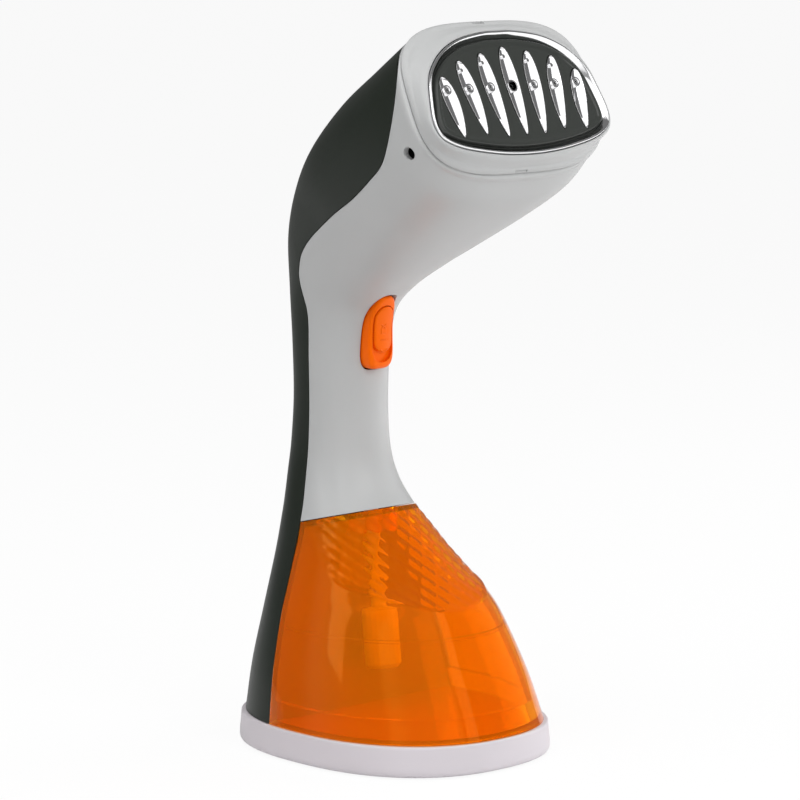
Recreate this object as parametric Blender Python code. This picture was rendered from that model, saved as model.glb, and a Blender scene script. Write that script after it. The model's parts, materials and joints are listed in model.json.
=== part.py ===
"""Handheld garment steamer, standing on its base: handle and head lift off a water tank.

All lengths are millimetres in a frame with its origin at the middle of the base, +Z up and
the steam panel facing -Y. The root empty shifts the whole object so that the world origin is
the middle of its bounding box, on the floor.
"""
import math

import bmesh
import bpy
import numpy as np
from mathutils import Vector

MM = 0.001
GAP = 0.15  # half of the 0.3 mm clearance that each joint line gets
WALL = 2.2  # housing wall
TANK_WALL = 2.0

# Base: a rounded oval tray.
BASE_HALF_X, BASE_HALF_Y, BASE_N = 50.4, 60.4, 2.4
BASE_TOP = 10.9
BASE_BOTTOM = -0.5
FLOOR = -1.2  # underside of the rubber feet; the root empty lifts this to z = 0

# Tank and handle part on a plane that leans back; the handle slides off along it.
SPLIT_Y0, SPLIT_LEAN = 15.4, 0.118
SEAM_POINT = (25.3, 84.3)
SEAM_SLOPE = -0.2475
NECK_Y, NECK_Z, NECK_R = 12.8, 88.0, 8.2

# Head: the steam panel's middle, and its tilt back from the vertical.
PANEL_Y, PANEL_Z, PANEL_TILT = -62.5, 252.0, math.radians(24)
TRIM_WIDTH = 1.4
LIFT = Vector((0, SPLIT_LEAN, 1)).normalized()

# Trigger
TRIGGER_BOTTOM, TRIGGER_TOP, TRIGGER_HALF = 142.2, 170.4, 6.5
TRIGGER_PIN = (13.0, 166.5)
TRIGGER_BACK = 16.0

# Sections: front point (y, z), back point (y, z), half width, roundness exponent.
TANK_SECTIONS = [
    (-59.8, 11, 59.8, 11, 49.8, 2.25),
    (-51.8, 30, 57.6, 30, 45.9, 2.25),
    (-41.8, 50, 54.8, 50, 39.9, 2.2),
    (-36.0, 60, 53.7, 60, 35.9, 2.05),
    (-30.0, 70, 52.6, 70, 31.5, 2.05),
    (-25.0, 80, 51.8, 80, 27.0, 2.15),
    (-17.0, 92, 51.0, 92, 23.0, 2.25),
    (-10.0, 102, 50.6, 102, 20.5, 2.25),
]
SCOOP_SECTIONS = [
    (-70.0, 4, 66.0, 4, 105.0, 2.2),
    (-66.0, 30, 60.0, 30, 95.0, 2.2),
    (-58.0, 46, 55.2, 46, 80.0, 2.2),
    (-40.0, 55, 54.2, 55, 54.0, 2.1),
    (-30.0, 62.5, 53.3, 62.5, 38.0, 2.0),
    (-21.0, 70, 52.6, 70, 32.7, 2.0),
    (-10.0, 80, 51.8, 80, 27.2, 2.1),
    (0.0, 90, 51.2, 90, 22.4, 2.2),
    (6.8, 100, 50.7, 100, 19.2, 2.2),
]
GRIP_SECTIONS = [
    (10.0, 112, 49.8, 112, 17.0, 2.2),
    (10.8, 130, 48.7, 130, 16.2, 2.2),
    (10.4, 149.0, 48.4, 151.7, 16.9, 2.3),
    (8.1, 163.1, 48.1, 172.7, 18.5, 2.45),
    (-0.7, 172.4, 44.9, 195.4, 23.8, 2.45),
    (-14.9, 181.1, 36.1, 215.3, 30.2, 2.35),
    (-30.4, 190.1, 21.4, 231.4, 37.0, 2.45),
    (-47.8, 200.5, -0.9, 248.3, 43.0, 2.6),
    (-61.4, 209.9, -23.3, 261.8, 46.6, 2.7),
    (-67.6, 218.6, -43.9, 274.5, 47.4, 2.85),
]
SPINE_SECTIONS = TANK_SECTIONS[:3] + [
    (-31.0, 70, 52.6, 70, 31.6, 2.25),
    (-14.0, 84, 51.5, 84, 25.4, 2.25),
    (-1.0, 92, 51.1, 92, 21.9, 2.2),
    (6.8, 100, 50.7, 100, 19.2, 2.2),
]
RIM_FRONT = [(-69.0, 219.6, -44.9, 275.0, 47.1, 2.9), (-69.4, 220.8, -45.7, 274.4, 46.2, 2.95)]

# Line between front housing and rear cover, seen from the side (y, z), from the seam upward.
PARTING = [
    (25.4, 84.3), (27.2, 92), (28.5, 99), (29.5, 110), (29.8, 130), (29.6, 145), (28.9, 157),
    (29.0, 164), (30.2, 170), (30.8, 175), (29.4, 180), (24.4, 187), (14.0, 194.2),
    (-3.9, 203.4), (-19.7, 210.8), (-33.2, 218.8), (-42.0, 225.2), (-46.9, 233.0),
    (-49.8, 242.0), (-51.4, 250.0), (-51.6, 256.5), (-49.8, 262.5), (-46.0, 267.3),
    (-40.0, 271.4), (-33.0, 276.0),
]

# Steam panel trim, right half of its outline as (x, height up the panel) from the top down.
TRIM_HALF = [
    (0, 21.2), (8, 21.0), (20.5, 18.9), (30, 14.8), (36.8, 9.2), (40.3, 3.8), (42.3, -3),
    (43.7, -10), (43.3, -14.8), (40.8, -18.3), (34.2, -21.4), (25, -23.5), (13, -25.2), (0, -25.8),
]
PANEL_PROUD = 1.07  # how far the panel and its ring stand in front of the bezel's plane
# Steam channels, middle to right: hole (x, q), top end, bottom end.
CHANNELS = [
    ((0.0, 0.3), (0.0, 15.2), (0.0, -18.4)),
    ((10.9, 0.3), (11.6, 13.2), (9.2, -18.6)),
    ((21.6, 0.3), (23.3, 10.8), (19.6, -17.2)),
    ((32.6, 0.3), (33.6, 5.2), (30.9, -17.8)),
]
CHANNEL_HALF_WIDTH = 3.8
VALLEY_DEPTH = 1.6
VALLEY_AT = 0.15  # the valley line's place across a channel, from -1 at its left edge to 1

FINISHES = {
    "shell_grey": ((0.50, 0.51, 0.51), 0.32, 0.0, 0.0),
    "shell_charcoal": ((0.028, 0.033, 0.028), 0.38, 0.0, 0.0),
    "base_pale_grey": ((0.60, 0.57, 0.60), 0.42, 0.0, 0.0),
    "trigger_orange": ((0.90, 0.20, 0.01), 0.35, 0.0, 0.0),
    "tank_clear_orange": ((1.0, 0.25, 0.01), 0.05, 0.0, 0.85),
    "chrome": ((0.90, 0.90, 0.91), 0.05, 1.0, 0.0),
    "panel_dark_gloss": ((0.035, 0.038, 0.036), 0.12, 0.0, 0.0),
    "cast_aluminium": ((0.62, 0.63, 0.65), 0.45, 1.0, 0.0),
    "steel": ((0.55, 0.55, 0.57), 0.30, 1.0, 0.0),
    "silicone_translucent": ((0.80, 0.78, 0.74), 0.45, 0.0, 0.0),
    "silicone_red": ((0.55, 0.05, 0.03), 0.50, 0.0, 0.0),
    "black_plastic": ((0.02, 0.02, 0.022), 0.45, 0.0, 0.0),
    "white_plastic": ((0.80, 0.80, 0.78), 0.45, 0.0, 0.0),
    "rubber_black": ((0.018, 0.018, 0.018), 0.75, 0.0, 0.0),
    "circuit_board": ((0.05, 0.18, 0.08), 0.40, 0.0, 0.0),
    "wire_red": ((0.50, 0.03, 0.02), 0.45, 0.0, 0.0),
    "wire_blue": ((0.03, 0.08, 0.40), 0.45, 0.0, 0.0),
}

for old in list(bpy.data.objects):
    bpy.data.objects.remove(old, do_unlink=True)
scene = bpy.context.scene
scene.unit_settings.system = "METRIC"


def make_finish(name):
    (red, green, blue), rough, metal, clear = FINISHES[name]
    finish = bpy.data.materials.new(name)
    finish.use_nodes = True
    shader = finish.node_tree.nodes["Principled BSDF"]
    shader.inputs["Base Color"].default_value = (red, green, blue, 1)
    shader.inputs["Roughness"].default_value = rough
    shader.inputs["Metallic"].default_value = metal
    shader.inputs["Transmission Weight"].default_value = clear
    finish.diffuse_color = (red, green, blue, 1)
    return finish


finishes = {name: make_finish(name) for name in FINISHES}


def empty(name, at, parent=None):
    """A body's own frame; `at` is in millimetres, in the object's frame."""
    found = bpy.data.objects.new(name, None)
    found.empty_display_size = 0.01
    scene.collection.objects.link(found)
    found.location = Vector(at) * MM
    if parent:
        found.parent = parent
        found.location -= Vector(parent["at"]) * MM
    found["at"] = list(at)
    return found


# ---------------------------------------------------------------- shapes, in millimetres
def spline(keys, steps):
    """Smooth curve through the key rows, `steps` pieces between each two of them."""
    keys = np.array(keys, float)
    rise = np.diff(keys, axis=0)
    tangent = np.vstack([rise[:1], (rise[1:] + rise[:-1]) / 2, rise[-1:]])
    rows = []
    for i in range(len(keys) - 1):
        for t in np.arange(steps) / steps:
            h = 2 * t**3 - 3 * t**2 + 1, t**3 - 2 * t**2 + t, 3 * t**2 - 2 * t**3, t**3 - t**2
            rows.append(h[0] * keys[i] + h[1] * tangent[i] + h[2] * keys[i + 1] + h[3] * tangent[i + 1])
    return np.array(rows + [keys[-1]])


def section_ring(row, inset, count):
    """One superellipse section between a front and a back point."""
    front, back = np.array(row[0:2]), np.array(row[2:4])
    length = np.linalg.norm(back - front)
    along = (back - front) / length
    middle = (front + back) / 2
    half, half_width, power = length / 2 - inset, row[4] - inset, 2 / row[5]
    angles = np.arange(count) * 2 * math.pi / count
    sines, cosines = np.sin(angles), np.cos(angles)
    across = half_width * np.sign(sines) * np.abs(sines) ** power
    depth = -half * np.sign(cosines) * np.abs(cosines) ** power
    return np.column_stack([across, middle[0] + along[0] * depth, middle[1] + along[1] * depth])


def skin(sections, inset=0.0, steps=2, count=56):
    return [section_ring(row, inset, count) for row in spline(sections, steps)]


def loft(rings):
    """Closed body through the rings, with a flat cap on each end."""
    count = len(rings[0])
    faces = [tuple(range(count)), tuple(range((len(rings) - 1) * count, len(rings) * count))]
    for j in range(len(rings) - 1):
        for i in range(count):
            k = (i + 1) % count
            faces.append((j * count + i, j * count + k, (j + 1) * count + k, (j + 1) * count + i))
    return np.vstack(rings), faces


def hoop(rings):
    """Closed ring-shaped body: the last ring joins the first."""
    points, faces = loft(list(rings) + [rings[0]])
    count = len(rings[0])
    faces = [tuple(i % (len(rings) * count) for i in face) for face in faces[2:]]
    return points[: len(rings) * count], faces


def lathe(profile, centre, axis=(0, 0, 1), steps=24):
    """Body of revolution: profile of (radius, height); radius 0 ends it on the axis."""
    turn = Vector((0, 0, 1)).rotation_difference(Vector(axis)).to_matrix()
    closed = profile[0][0] > 0
    outline = [p for p in profile if p[0] > 0]
    rings = []
    for radius, height in outline:
        angles = np.arange(steps) * 2 * math.pi / steps
        ring = np.column_stack(
            [radius * np.cos(angles), radius * np.sin(angles), np.full(steps, float(height))]
        )
        rings.append(ring @ np.array(turn).T + np.array(centre))
    return hoop(rings) if closed else loft(rings)


def cylinder(radius, low, high, centre, axis=(0, 0, 1), steps=24, bevel=0.0):
    if not bevel:
        return lathe([(0, low), (radius, low), (radius, high), (0, high)], centre, axis, steps)
    inner = radius - bevel
    profile = [(0, low), (inner, low), (radius, low + bevel), (radius, high - bevel), (inner, high)]
    return lathe(profile + [(0, high)], centre, axis, steps)


def tube_ring(outer, inner, low, high, centre, axis=(0, 0, 1), steps=24):
    return lathe([(outer, low), (outer, high), (inner, high), (inner, low)], centre, axis, steps)


def box(low, high):
    plan = ((low[0], low[1]), (high[0], low[1]), (high[0], high[1]), (low[0], high[1]))
    return loft([np.array([(x, y, z) for x, y in plan]) for z in (low[2], high[2])])


def side_prism(outline, half_width=90.0):
    """Side-view outline (y, z) pulled across the whole width; it is only used to cut with."""
    left = np.array([(-half_width, y, z) for y, z in outline])
    right = left * np.array([-1, 1, 1])
    return loft([left, right])


def front_prism(outline, back, front):
    """Front-view outline (x, z) pulled along Y."""
    return loft([np.array([(x, y, z) for x, z in outline]) for y in (back, front)])


def path_frames(path):
    tangents = np.gradient(path, axis=0)
    tangents /= np.linalg.norm(tangents, axis=1)[:, None]
    normal = np.cross(tangents[0], (0.0, 0.35, 1.0) if abs(tangents[0][0]) > 0.9 else (1.0, 0, 0))
    frames = []
    for tangent in tangents:
        normal = normal - tangent * normal.dot(tangent)
        normal /= np.linalg.norm(normal)
        frames.append((normal, np.cross(tangent, normal)))
    return frames


def sweep(keys, radius, bore=0.0, steps=4, sides=12):
    """Round rod, or a hose if it has a bore, along a smooth path."""
    path = spline(keys, steps)
    angles = np.arange(sides) * 2 * math.pi / sides

    def rings(size):
        return [
            at + size * (np.outer(np.cos(angles), u) + np.outer(np.sin(angles), v))
            for at, (u, v) in zip(path, path_frames(path))
        ]

    return hoop(rings(radius) + rings(bore)[::-1]) if bore else loft(rings(radius))


def coil(centre, axis_end, radius, wire, turns, per_turn=10, sides=5):
    """Compression spring from `centre` to `axis_end`, both ends on the axis circle."""
    start, end = Vector(centre), Vector(axis_end)
    turn = Vector((0, 0, 1)).rotation_difference(end - start).to_matrix()
    length = (end - start).length - 2 * wire
    keys = []
    for i in range(int(turns * per_turn) + 1):
        angle = i * 2 * math.pi / per_turn
        height = wire + length * i / (turns * per_turn)
        at = turn @ Vector((radius * math.cos(angle), radius * math.sin(angle), height))
        keys.append(start + at)
    return sweep(keys, wire, steps=1, sides=sides)


def shifted(curve, distance):
    """Open curve moved sideways: positive is to the left of its direction."""
    curve = np.array(curve, float)
    direction = np.gradient(curve, axis=0)
    direction /= np.linalg.norm(direction, axis=1)[:, None]
    return curve + distance * np.column_stack([-direction[:, 1], direction[:, 0]])


def closed_outline(half, count=64):
    """Smooth closed outline through a right half and its mirror, evenly spaced."""
    whole = [tuple(p) for p in half] + [(-x, q) for x, q in half[-2:0:-1]]
    fine = spline(whole[-2:] + whole + whole[:3], 8)[16:-16]
    length = np.concatenate([[0], np.cumsum(np.linalg.norm(np.diff(fine, axis=0), axis=1))])
    at = np.arange(count) * length[-1] / count
    return np.column_stack([np.interp(at, length, fine[:, k]) for k in (0, 1)])


def inset_outline(outline, distance):
    """Closed clockwise outline moved inward."""
    direction = np.roll(outline, -1, axis=0) - np.roll(outline, 1, axis=0)
    direction /= np.linalg.norm(direction, axis=1)[:, None]
    return outline + distance * np.column_stack([direction[:, 1], -direction[:, 0]])


def oval(half_x, half_y, power, count=64, middle=0.0):
    """Clockwise oval that starts at its top."""
    angles = np.arange(count) * 2 * math.pi / count
    sines, cosines = np.sin(angles), np.cos(angles)
    x = half_x * np.sign(sines) * np.abs(sines) ** (2 / power)
    return np.column_stack([x, middle + half_y * np.sign(cosines) * np.abs(cosines) ** (2 / power)])


PANEL_UP = np.array([0, math.sin(PANEL_TILT), math.cos(PANEL_TILT)])
PANEL_IN = np.array([0, math.cos(PANEL_TILT), -math.sin(PANEL_TILT)])
PANEL_MIDDLE = np.array([0, PANEL_Y, PANEL_Z])


def on_panel(outline, depth):
    """Outline (x, q) on the steam panel's plane, sunk by `depth`; depth may vary by point."""
    outline = np.atleast_2d(outline)
    depth = np.broadcast_to(np.array(depth, float), (len(outline),))
    points = PANEL_MIDDLE + outline[:, 1:2] * PANEL_UP + depth[:, None] * PANEL_IN
    return points + outline[:, 0:1] * np.array([1.0, 0, 0])


def panel_plate(outline, front, back):
    return loft([on_panel(outline, front), on_panel(outline, back)])


def panel_cylinder(radius, front, back, x, q, steps=20):
    return cylinder(radius, front, back, on_panel([(x, q)], 0)[0], PANEL_IN, steps)


# ---------------------------------------------------------------- objects
def build(name, shape, finish=None, body=None, pivot=None, cutter=False):
    """One solid. Its origin is its body's frame, or its own pivot."""
    points, faces = shape
    points = np.array([tuple(p) for p in points], float)
    pivot = np.array(pivot if pivot is not None else (body["at"] if body else (0, 0, 0)), float)
    mesh = bpy.data.meshes.new(name)
    mesh.from_pydata([tuple(p) for p in (points - pivot) * MM], [], faces)
    tidy = bmesh.new()
    tidy.from_mesh(mesh)
    bmesh.ops.remove_doubles(tidy, verts=tidy.verts, dist=1e-6)
    bmesh.ops.recalc_face_normals(tidy, faces=tidy.faces)
    if tidy.calc_volume(signed=True) < 0:
        bmesh.ops.reverse_faces(tidy, faces=tidy.faces)
    tidy.to_mesh(mesh)
    tidy.free()
    made = bpy.data.objects.new(name, mesh)
    scene.collection.objects.link(made)
    parent = body or root
    made.parent = parent
    made.location = Vector((pivot - np.array(parent["at"]))) * MM
    if cutter:
        made.hide_render = True
        made.display_type = "WIRE"
    else:
        mesh.materials.append(finishes[finish])
    return made


def boolean(target, other, operation="DIFFERENCE"):
    cut = target.modifiers.new(operation.title() + "_" + other.name, "BOOLEAN")
    cut.operation = operation
    cut.solver = "EXACT"
    cut.object = other
    return target


def cut(target, name, shape, operation="DIFFERENCE"):
    return boolean(target, build(name, shape, cutter=True), operation)


def seam_z(y):
    return SEAM_POINT[1] + SEAM_SLOPE * (y - SEAM_POINT[0])


def split_y(z):
    return SPLIT_Y0 + SPLIT_LEAN * z


# Reach of the whole object in front of and behind the base's middle.
FRONT_OVERHANG, REAR_OVERHANG = 74.286, 60.9
root = empty("steamer_root", (0, 0, 0))
root.location = (0, (FRONT_OVERHANG - REAR_OVERHANG) / 2 * MM, -FLOOR * MM)
stand = empty("stand_frame", (0, 0, 0), root)
handle = empty("handle_frame", (0, split_y(BASE_TOP), BASE_TOP), root)

# Side-view outlines that the skin is divided with.
parting_curve = spline(PARTING, 3)
rear_edge = shifted(parting_curve, -GAP)
front_edge = shifted(parting_curve, GAP)
REAR_OUTLINE = (
    [(split_y(BASE_TOP + 0.3) + GAP, BASE_TOP + 0.3), (split_y(83) + GAP, 83.0)]
    + [tuple(p) for p in rear_edge[1:]]
    + [(-33, 300), (100, 300), (100, BASE_TOP + 0.3)]
)
FRONT_OUTLINE = (
    [(-120, seam_z(-120) + GAP), (front_edge[0][0] - GAP, seam_z(front_edge[0][0]) + GAP)]
    + [tuple(p) for p in front_edge[1:]]
    + [(-33, 300), (-120, 300)]
)


def tank_outline(inset):
    """Side view of the room in front of the spine and under the handle."""
    bottom = BASE_TOP + 0.3 + inset
    corner = SEAM_POINT[1] - 0.7
    return [
        (-110, bottom),
        (split_y(bottom) - GAP - inset, bottom),
        (split_y(corner) - GAP - inset, seam_z(split_y(corner)) - GAP - inset * 1.03),
        (-110, seam_z(-110) - GAP - inset * 1.03),
    ]


# ---------------------------------------------------------------- stand: base, feet and tank
def base_ring(inset, z, count):
    """Level ring of the base's oval outline."""
    outline = oval(BASE_HALF_X - inset, BASE_HALF_Y - inset, BASE_N, count)
    return np.column_stack([outline, np.full(count, z)])


base = build(
    "base_shell",
    loft([
        base_ring(inset, z, 56)
        for inset, z in [
            (0.6, BASE_BOTTOM), (-0.1, 0.0), (-0.5, 1.1), (-0.5, 3.0), (-0.1, 7.0),
            (0.1, BASE_TOP - 0.7), (0.7, BASE_TOP),
        ]
    ]),
    "base_pale_grey", stand,
)
cut(base, "base_hollow", loft([
    base_ring(inset, z, 40) for inset, z in [(5.6, -3.0), (5.6, 2.2), (2.8, 2.3), (2.6, BASE_TOP - 2.2)]
]))
base_plate = build(
    "base_plate", loft([base_ring(5.9, z, 36) for z in (BASE_BOTTOM, 1.9)]), "black_plastic", stand,
)
FEET = {
    "front_left": (-27, -34), "front_right": (27, -34),
    "rear_left": (-27, 36), "rear_right": (27, 36),
}
for place, (x, y) in FEET.items():
    cut(base_plate, "foot_pocket_" + place, cylinder(5.3, -3, 0.6, (x, y, 0), steps=16))
    foot = cylinder(5.0, FLOOR, 0.3, (x, y, 0), steps=16, bevel=0.3)
    build("foot_" + place, foot, "rubber_black", stand)

tank = build("water_tank", loft(skin(TANK_SECTIONS, 0, 2, 52)), "tank_clear_orange", stand)
cut(tank, "tank_scoop", loft(skin(SCOOP_SECTIONS, 0, 2, 52)), "INTERSECT")
cut(tank, "tank_bounds", side_prism(tank_outline(0)), "INTERSECT")
neck_centre = (0, NECK_Y, NECK_Z)
tank_room = build("tank_room", loft(skin(TANK_SECTIONS, TANK_WALL, 2, 44)), cutter=True)
cut(tank_room, "tank_room_scoop", loft(skin(SCOOP_SECTIONS, TANK_WALL, 2, 44)), "INTERSECT")
cut(tank_room, "tank_room_bounds", side_prism(tank_outline(TANK_WALL)), "INTERSECT")
cut(tank_room, "tank_neck_collar", cylinder(NECK_R + 1.6, -8.5, 8, neck_centre, LIFT))
boolean(tank, tank_room)
cut(tank, "tank_neck_bore", cylinder(NECK_R, -20, 8, neck_centre, LIFT, 28))

# ---------------------------------------------------------------- handle: the two housing halves
grip_and_scoop = SCOOP_SECTIONS[3:] + GRIP_SECTIONS
front_housing = build(
    "front_housing",
    loft(skin(grip_and_scoop, 0, 2, 44) + [section_ring(row, 0, 44) for row in RIM_FRONT]),
    "shell_grey", handle,
)
cut(front_housing, "front_bounds", side_prism(FRONT_OUTLINE), "INTERSECT")
inner_end = [(-69.7, 221.0, -46.1, 274.1, 46.2, 3.0), (-75.2, 223.4, -51.6, 276.6, 46.2, 3.0)]
front_room = loft(skin(grip_and_scoop, WALL, 2, 28) + [section_ring(row, WALL, 28) for row in inner_end])
cut(front_housing, "front_room", front_room)

rear_sections = SPINE_SECTIONS + GRIP_SECTIONS
rear_cover = build("rear_cover", loft(skin(rear_sections, 0, 2, 40)), "shell_charcoal", handle)
cut(rear_cover, "rear_bounds", side_prism(REAR_OUTLINE), "INTERSECT")
low_room = [(-59.8, 2, 59.8, 2, 49.8, 2.25)]
rear_room = loft(
    skin(low_room + rear_sections, WALL, 2, 28) + [section_ring(row, WALL, 28) for row in inner_end]
)
cut(rear_cover, "rear_room", rear_room)


def bulkhead(name, outline, finish, sections, inset=WALL + 0.3, steps=2):
    """Plate that fills the housing's inside between the lines of a side-view outline."""
    plate = build(name, loft(skin(sections, inset, steps, 40)), finish, handle)
    return cut(plate, name + "_bounds", side_prism(outline), "INTERSECT")


def seam_band(low, high, reach=70.0):
    """Side-view strip across the housing, tilted like the seam."""
    return [
        (-reach, seam_z(-reach) + low), (reach, seam_z(reach) + low),
        (reach, seam_z(reach) + high), (-reach, seam_z(-reach) + high),
    ]


bulkhead("spine_wall", [
    (split_y(11.5) + GAP, 11.5), (split_y(82) + GAP, 82),
    (split_y(82) + 4.0, 82), (split_y(11.5) + 4.0, 11.5),
], "shell_charcoal", low_room + SPINE_SECTIONS)
dock_sections = SCOOP_SECTIONS[4:] + GRIP_SECTIONS[:2]
dock_floor = bulkhead("dock_floor", seam_band(1.95, 4.4), "shell_charcoal", dock_sections)
cut(dock_floor, "dock_floor_rear", side_prism([
    (-80, 60), (split_y(60) - 0.2, 60), (split_y(100), 100), (-80, 130),
]), "INTERSECT")
cut(dock_floor, "dock_floor_bore", cylinder(3.3, -5, 12, neck_centre, LIFT))
seam_normal = Vector((0, -SEAM_SLOPE, 1)).normalized()
seal_at = (0, NECK_Y, seam_z(NECK_Y))
seal = tube_ring(NECK_R + 0.9, NECK_R - 1.0, 0.25, 1.6, seal_at, seam_normal)
build("dock_seal", seal, "silicone_red", handle)

# Water pick-up: tube and filter hang from the dock floor through the tank's neck.
pickup_top = Vector((0, NECK_Y, NECK_Z)) + LIFT * 6.5
build("pickup_tube", lathe(
    [(2.9, -63), (2.9, 1.6), (2.2, 1.9), (2.2, 5.4), (1.4, 5.4), (1.4, -63)], pickup_top, LIFT, 14,
), "silicone_translucent", handle)
build("pickup_filter", lathe(
    [(3.2, -44), (6.6, -45), (6.9, -47), (6.9, -66), (5.6, -67.5), (1.5, -67.5), (1.5, -64), (3.2, -63.4)],
    pickup_top, LIFT, 20,
), "black_plastic", handle)

# Pump and its hoses
PUMP_Y = 31.5
build("pump_body", lathe([
    (0, 108.8), (2.2, 108.8), (2.2, 113), (7.8, 113), (8.8, 114), (8.8, 122), (8.2, 122.6), (8.2, 132),
    (8.8, 132.6), (8.8, 140), (7.8, 141), (2.2, 141), (2.2, 146.5), (0, 146.5),
], (0, PUMP_Y, 0)), "white_plastic", handle)
pump_cradle = bulkhead("pump_cradle", [(-20, 125), (80, 125), (80, 129.5), (-20, 129.5)], "black_plastic",
                       GRIP_SECTIONS[:3])
cut(pump_cradle, "pump_seat", cylinder(8.5, 100, 150, (0, PUMP_Y, 0), steps=20))
cut(pump_cradle, "wire_notch", box((-9, 38, 100), (9, 60, 140)))
cut(pump_cradle, "pump_cradle_front", side_prism([
    (split_y(0) - 80, 90), (29.4, 90), (29.4, 150), (-60, 150),
]), "INTERSECT")
build("pump_inlet_hose", sweep([
    pickup_top + LIFT * 2.3, pickup_top + LIFT * 5.6, (0, 17.3, 102.6), (0, 24.2, 104.2), (0, 29.9, 106.0),
    (0, PUMP_Y, 109.0), (0, PUMP_Y, 112.6),
], 3.7, 2.5, 2, 10), "silicone_translucent", handle)
port = on_panel([(0, 0)], 33.0)[0]
port_end = on_panel([(0, 0)], 41.0)[0]
build("pump_outlet_hose", sweep([
    (0, PUMP_Y, 141.6), (0, PUMP_Y, 147), (0, 34.0, 158), (0, 35.5, 172), (0, 31, 193),
    (0, 12, 217), (0, -8, 229.5), tuple(port_end), tuple(port),
], 3.6, 2.5, 2, 10), "silicone_translucent", handle)

# ---------------------------------------------------------------- head: bezel, trim, panel, steam chamber
trim = closed_outline(TRIM_HALF, 56)
rim_outline = oval(46.0, 29.3, 3.3, 56, -1.5)
bezel = build("head_bezel", hoop([
    on_panel(rim_outline, 6.1), on_panel(rim_outline, 5.6),
    on_panel(rim_outline * 0.62 + inset_outline(trim, -1.6) * 0.38, 2.6),
    on_panel(inset_outline(trim, -1.5), 0.0), on_panel(inset_outline(trim, -0.8), -0.7),
    on_panel(inset_outline(trim, -0.3), -0.55), on_panel(inset_outline(trim, -0.3), 4.4),
    on_panel(inset_outline(trim, 2.4), 4.4), on_panel(inset_outline(trim, 2.4), 6.6),
    on_panel(oval(42.2, 24.8, 3.0, 56, -2.2), 11.0), on_panel(oval(43.6, 26.2, 3.0, 56, -2.2), 11.0),
    on_panel(oval(43.6, 26.2, 3.0, 56, -2.2), 6.1),
]), "shell_grey", handle)
for place, q in (("top", 27.2), ("bottom", -31.0)):
    middle = on_panel([(0, q)], 4.4)[0]
    cut(bezel, "bezel_notch_" + place, box(middle - (3, 0.9, 0.8), middle + (3, 0.9, 0.8)))
build("chrome_trim_ring", hoop([
    on_panel(inset_outline(trim, inset), depth)
    for inset, depth in (
        (0.0, 4.1), (0.0, -PANEL_PROUD), (0.35, -0.5 - PANEL_PROUD),
        (1.0, -0.5 - PANEL_PROUD), (TRIM_WIDTH, -PANEL_PROUD), (TRIM_WIDTH, 4.1),
    )
]), "chrome", handle)


def channel_axis(hole, top, bottom, steps=9):
    """Centre line of one steam channel from top to bottom, with its half width at each step."""
    t = (1 - np.cos(np.linspace(0.0, 1.0, steps + 1) * math.pi)) / 2
    length = top[1] - bottom[1]
    middle = (top[1] - hole[1]) / length
    straight = top[0] - (top[0] - bottom[0]) * t
    bow = hole[0] - np.interp(middle, t, straight)
    x = straight + bow * np.sin(math.pi * t)
    q = top[1] - length * t
    wide = CHANNEL_HALF_WIDTH * np.sin(math.pi * t**0.8) ** 0.62 * (1 - 0.25 * t)
    return x, q, np.maximum(wide, 0.0)


def channel_outline(channel, side, grow=0.0, steps=9):
    hole, top, bottom = [(side * x, q) for x, q in channel]
    x, q, wide = channel_axis(hole, top, bottom, steps)
    q = q + grow * np.linspace(1, -1, steps + 1)
    wide = wide + grow * (wide > 0)
    right = np.column_stack([x + wide, q])
    left = np.column_stack([x - wide, q])[-2:0:-1]
    return np.vstack([right, left])


def channel_body(channel, side, steps=9):
    """Chrome boat: a rim level with the panel and two flat flanks that meet in a valley line."""
    hole, top, bottom = [(side * x, q) for x, q in channel]
    x, q, wide = channel_axis(hole, top, bottom, steps)
    sink = VALLEY_DEPTH * np.sin(math.pi * np.linspace(0, 1, steps + 1) ** 0.9) ** 0.6
    offsets, depths = (-1.0, -0.94, VALLEY_AT, 0.94, 1.0), (0.0, 0.0, 1.0, 0.0, 0.0)
    rings = []
    for i in range(1, steps):
        outline = [(x[i] + wide[i] * o, q[i]) for o in offsets]
        face = on_panel(outline, 0.1 - PANEL_PROUD + np.array(depths) * sink[i])
        back = on_panel(outline[::-1], 4.3)
        rings.append(np.vstack([face, back]))
    return loft(rings)


panel = build("steam_panel", loft([
    on_panel(inset_outline(trim, TRIM_WIDTH + inset), depth)
    for inset, depth in (
        (0.3, 3.4), (0.3, 2.0 - PANEL_PROUD), (1.5, 2.0 - PANEL_PROUD),
        (1.8, 0.3 - PANEL_PROUD), (2.4, -PANEL_PROUD),
    )
]), "panel_dark_gloss", handle)
plate = build("steam_plate", panel_plate(inset_outline(trim, 4.2), 4.7, 6.3), "cast_aluminium", handle)
LEFT_TO_RIGHT = ((3, -1), (2, -1), (1, -1), (0, 1), (1, 1), (2, 1), (3, 1))
for number, (slot, side) in enumerate(LEFT_TO_RIGHT, start=1):
    channel = CHANNELS[slot]
    x, q = channel[0][0] * side, channel[0][1]
    name = "steam_channel_" + str(number)
    cut(panel, name + "_window", panel_plate(channel_outline(channel, side, 0.3), -2, 6))
    leaf = build(name, channel_body(channel, side), "chrome", handle)
    bore, boss = (1.9, 2.4) if slot == 0 else (0.6, 1.95)
    cut(leaf, name + "_boss", panel_cylinder(boss, 0.25 - PANEL_PROUD, 4.0, x, q), "UNION")
    cut(leaf, name + "_hole", panel_cylinder(bore, -2, 6, x, q, 12))
    cut(plate, name + "_nozzle", panel_cylinder(bore + 0.2, 4, 8, x, q, 12))

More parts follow.
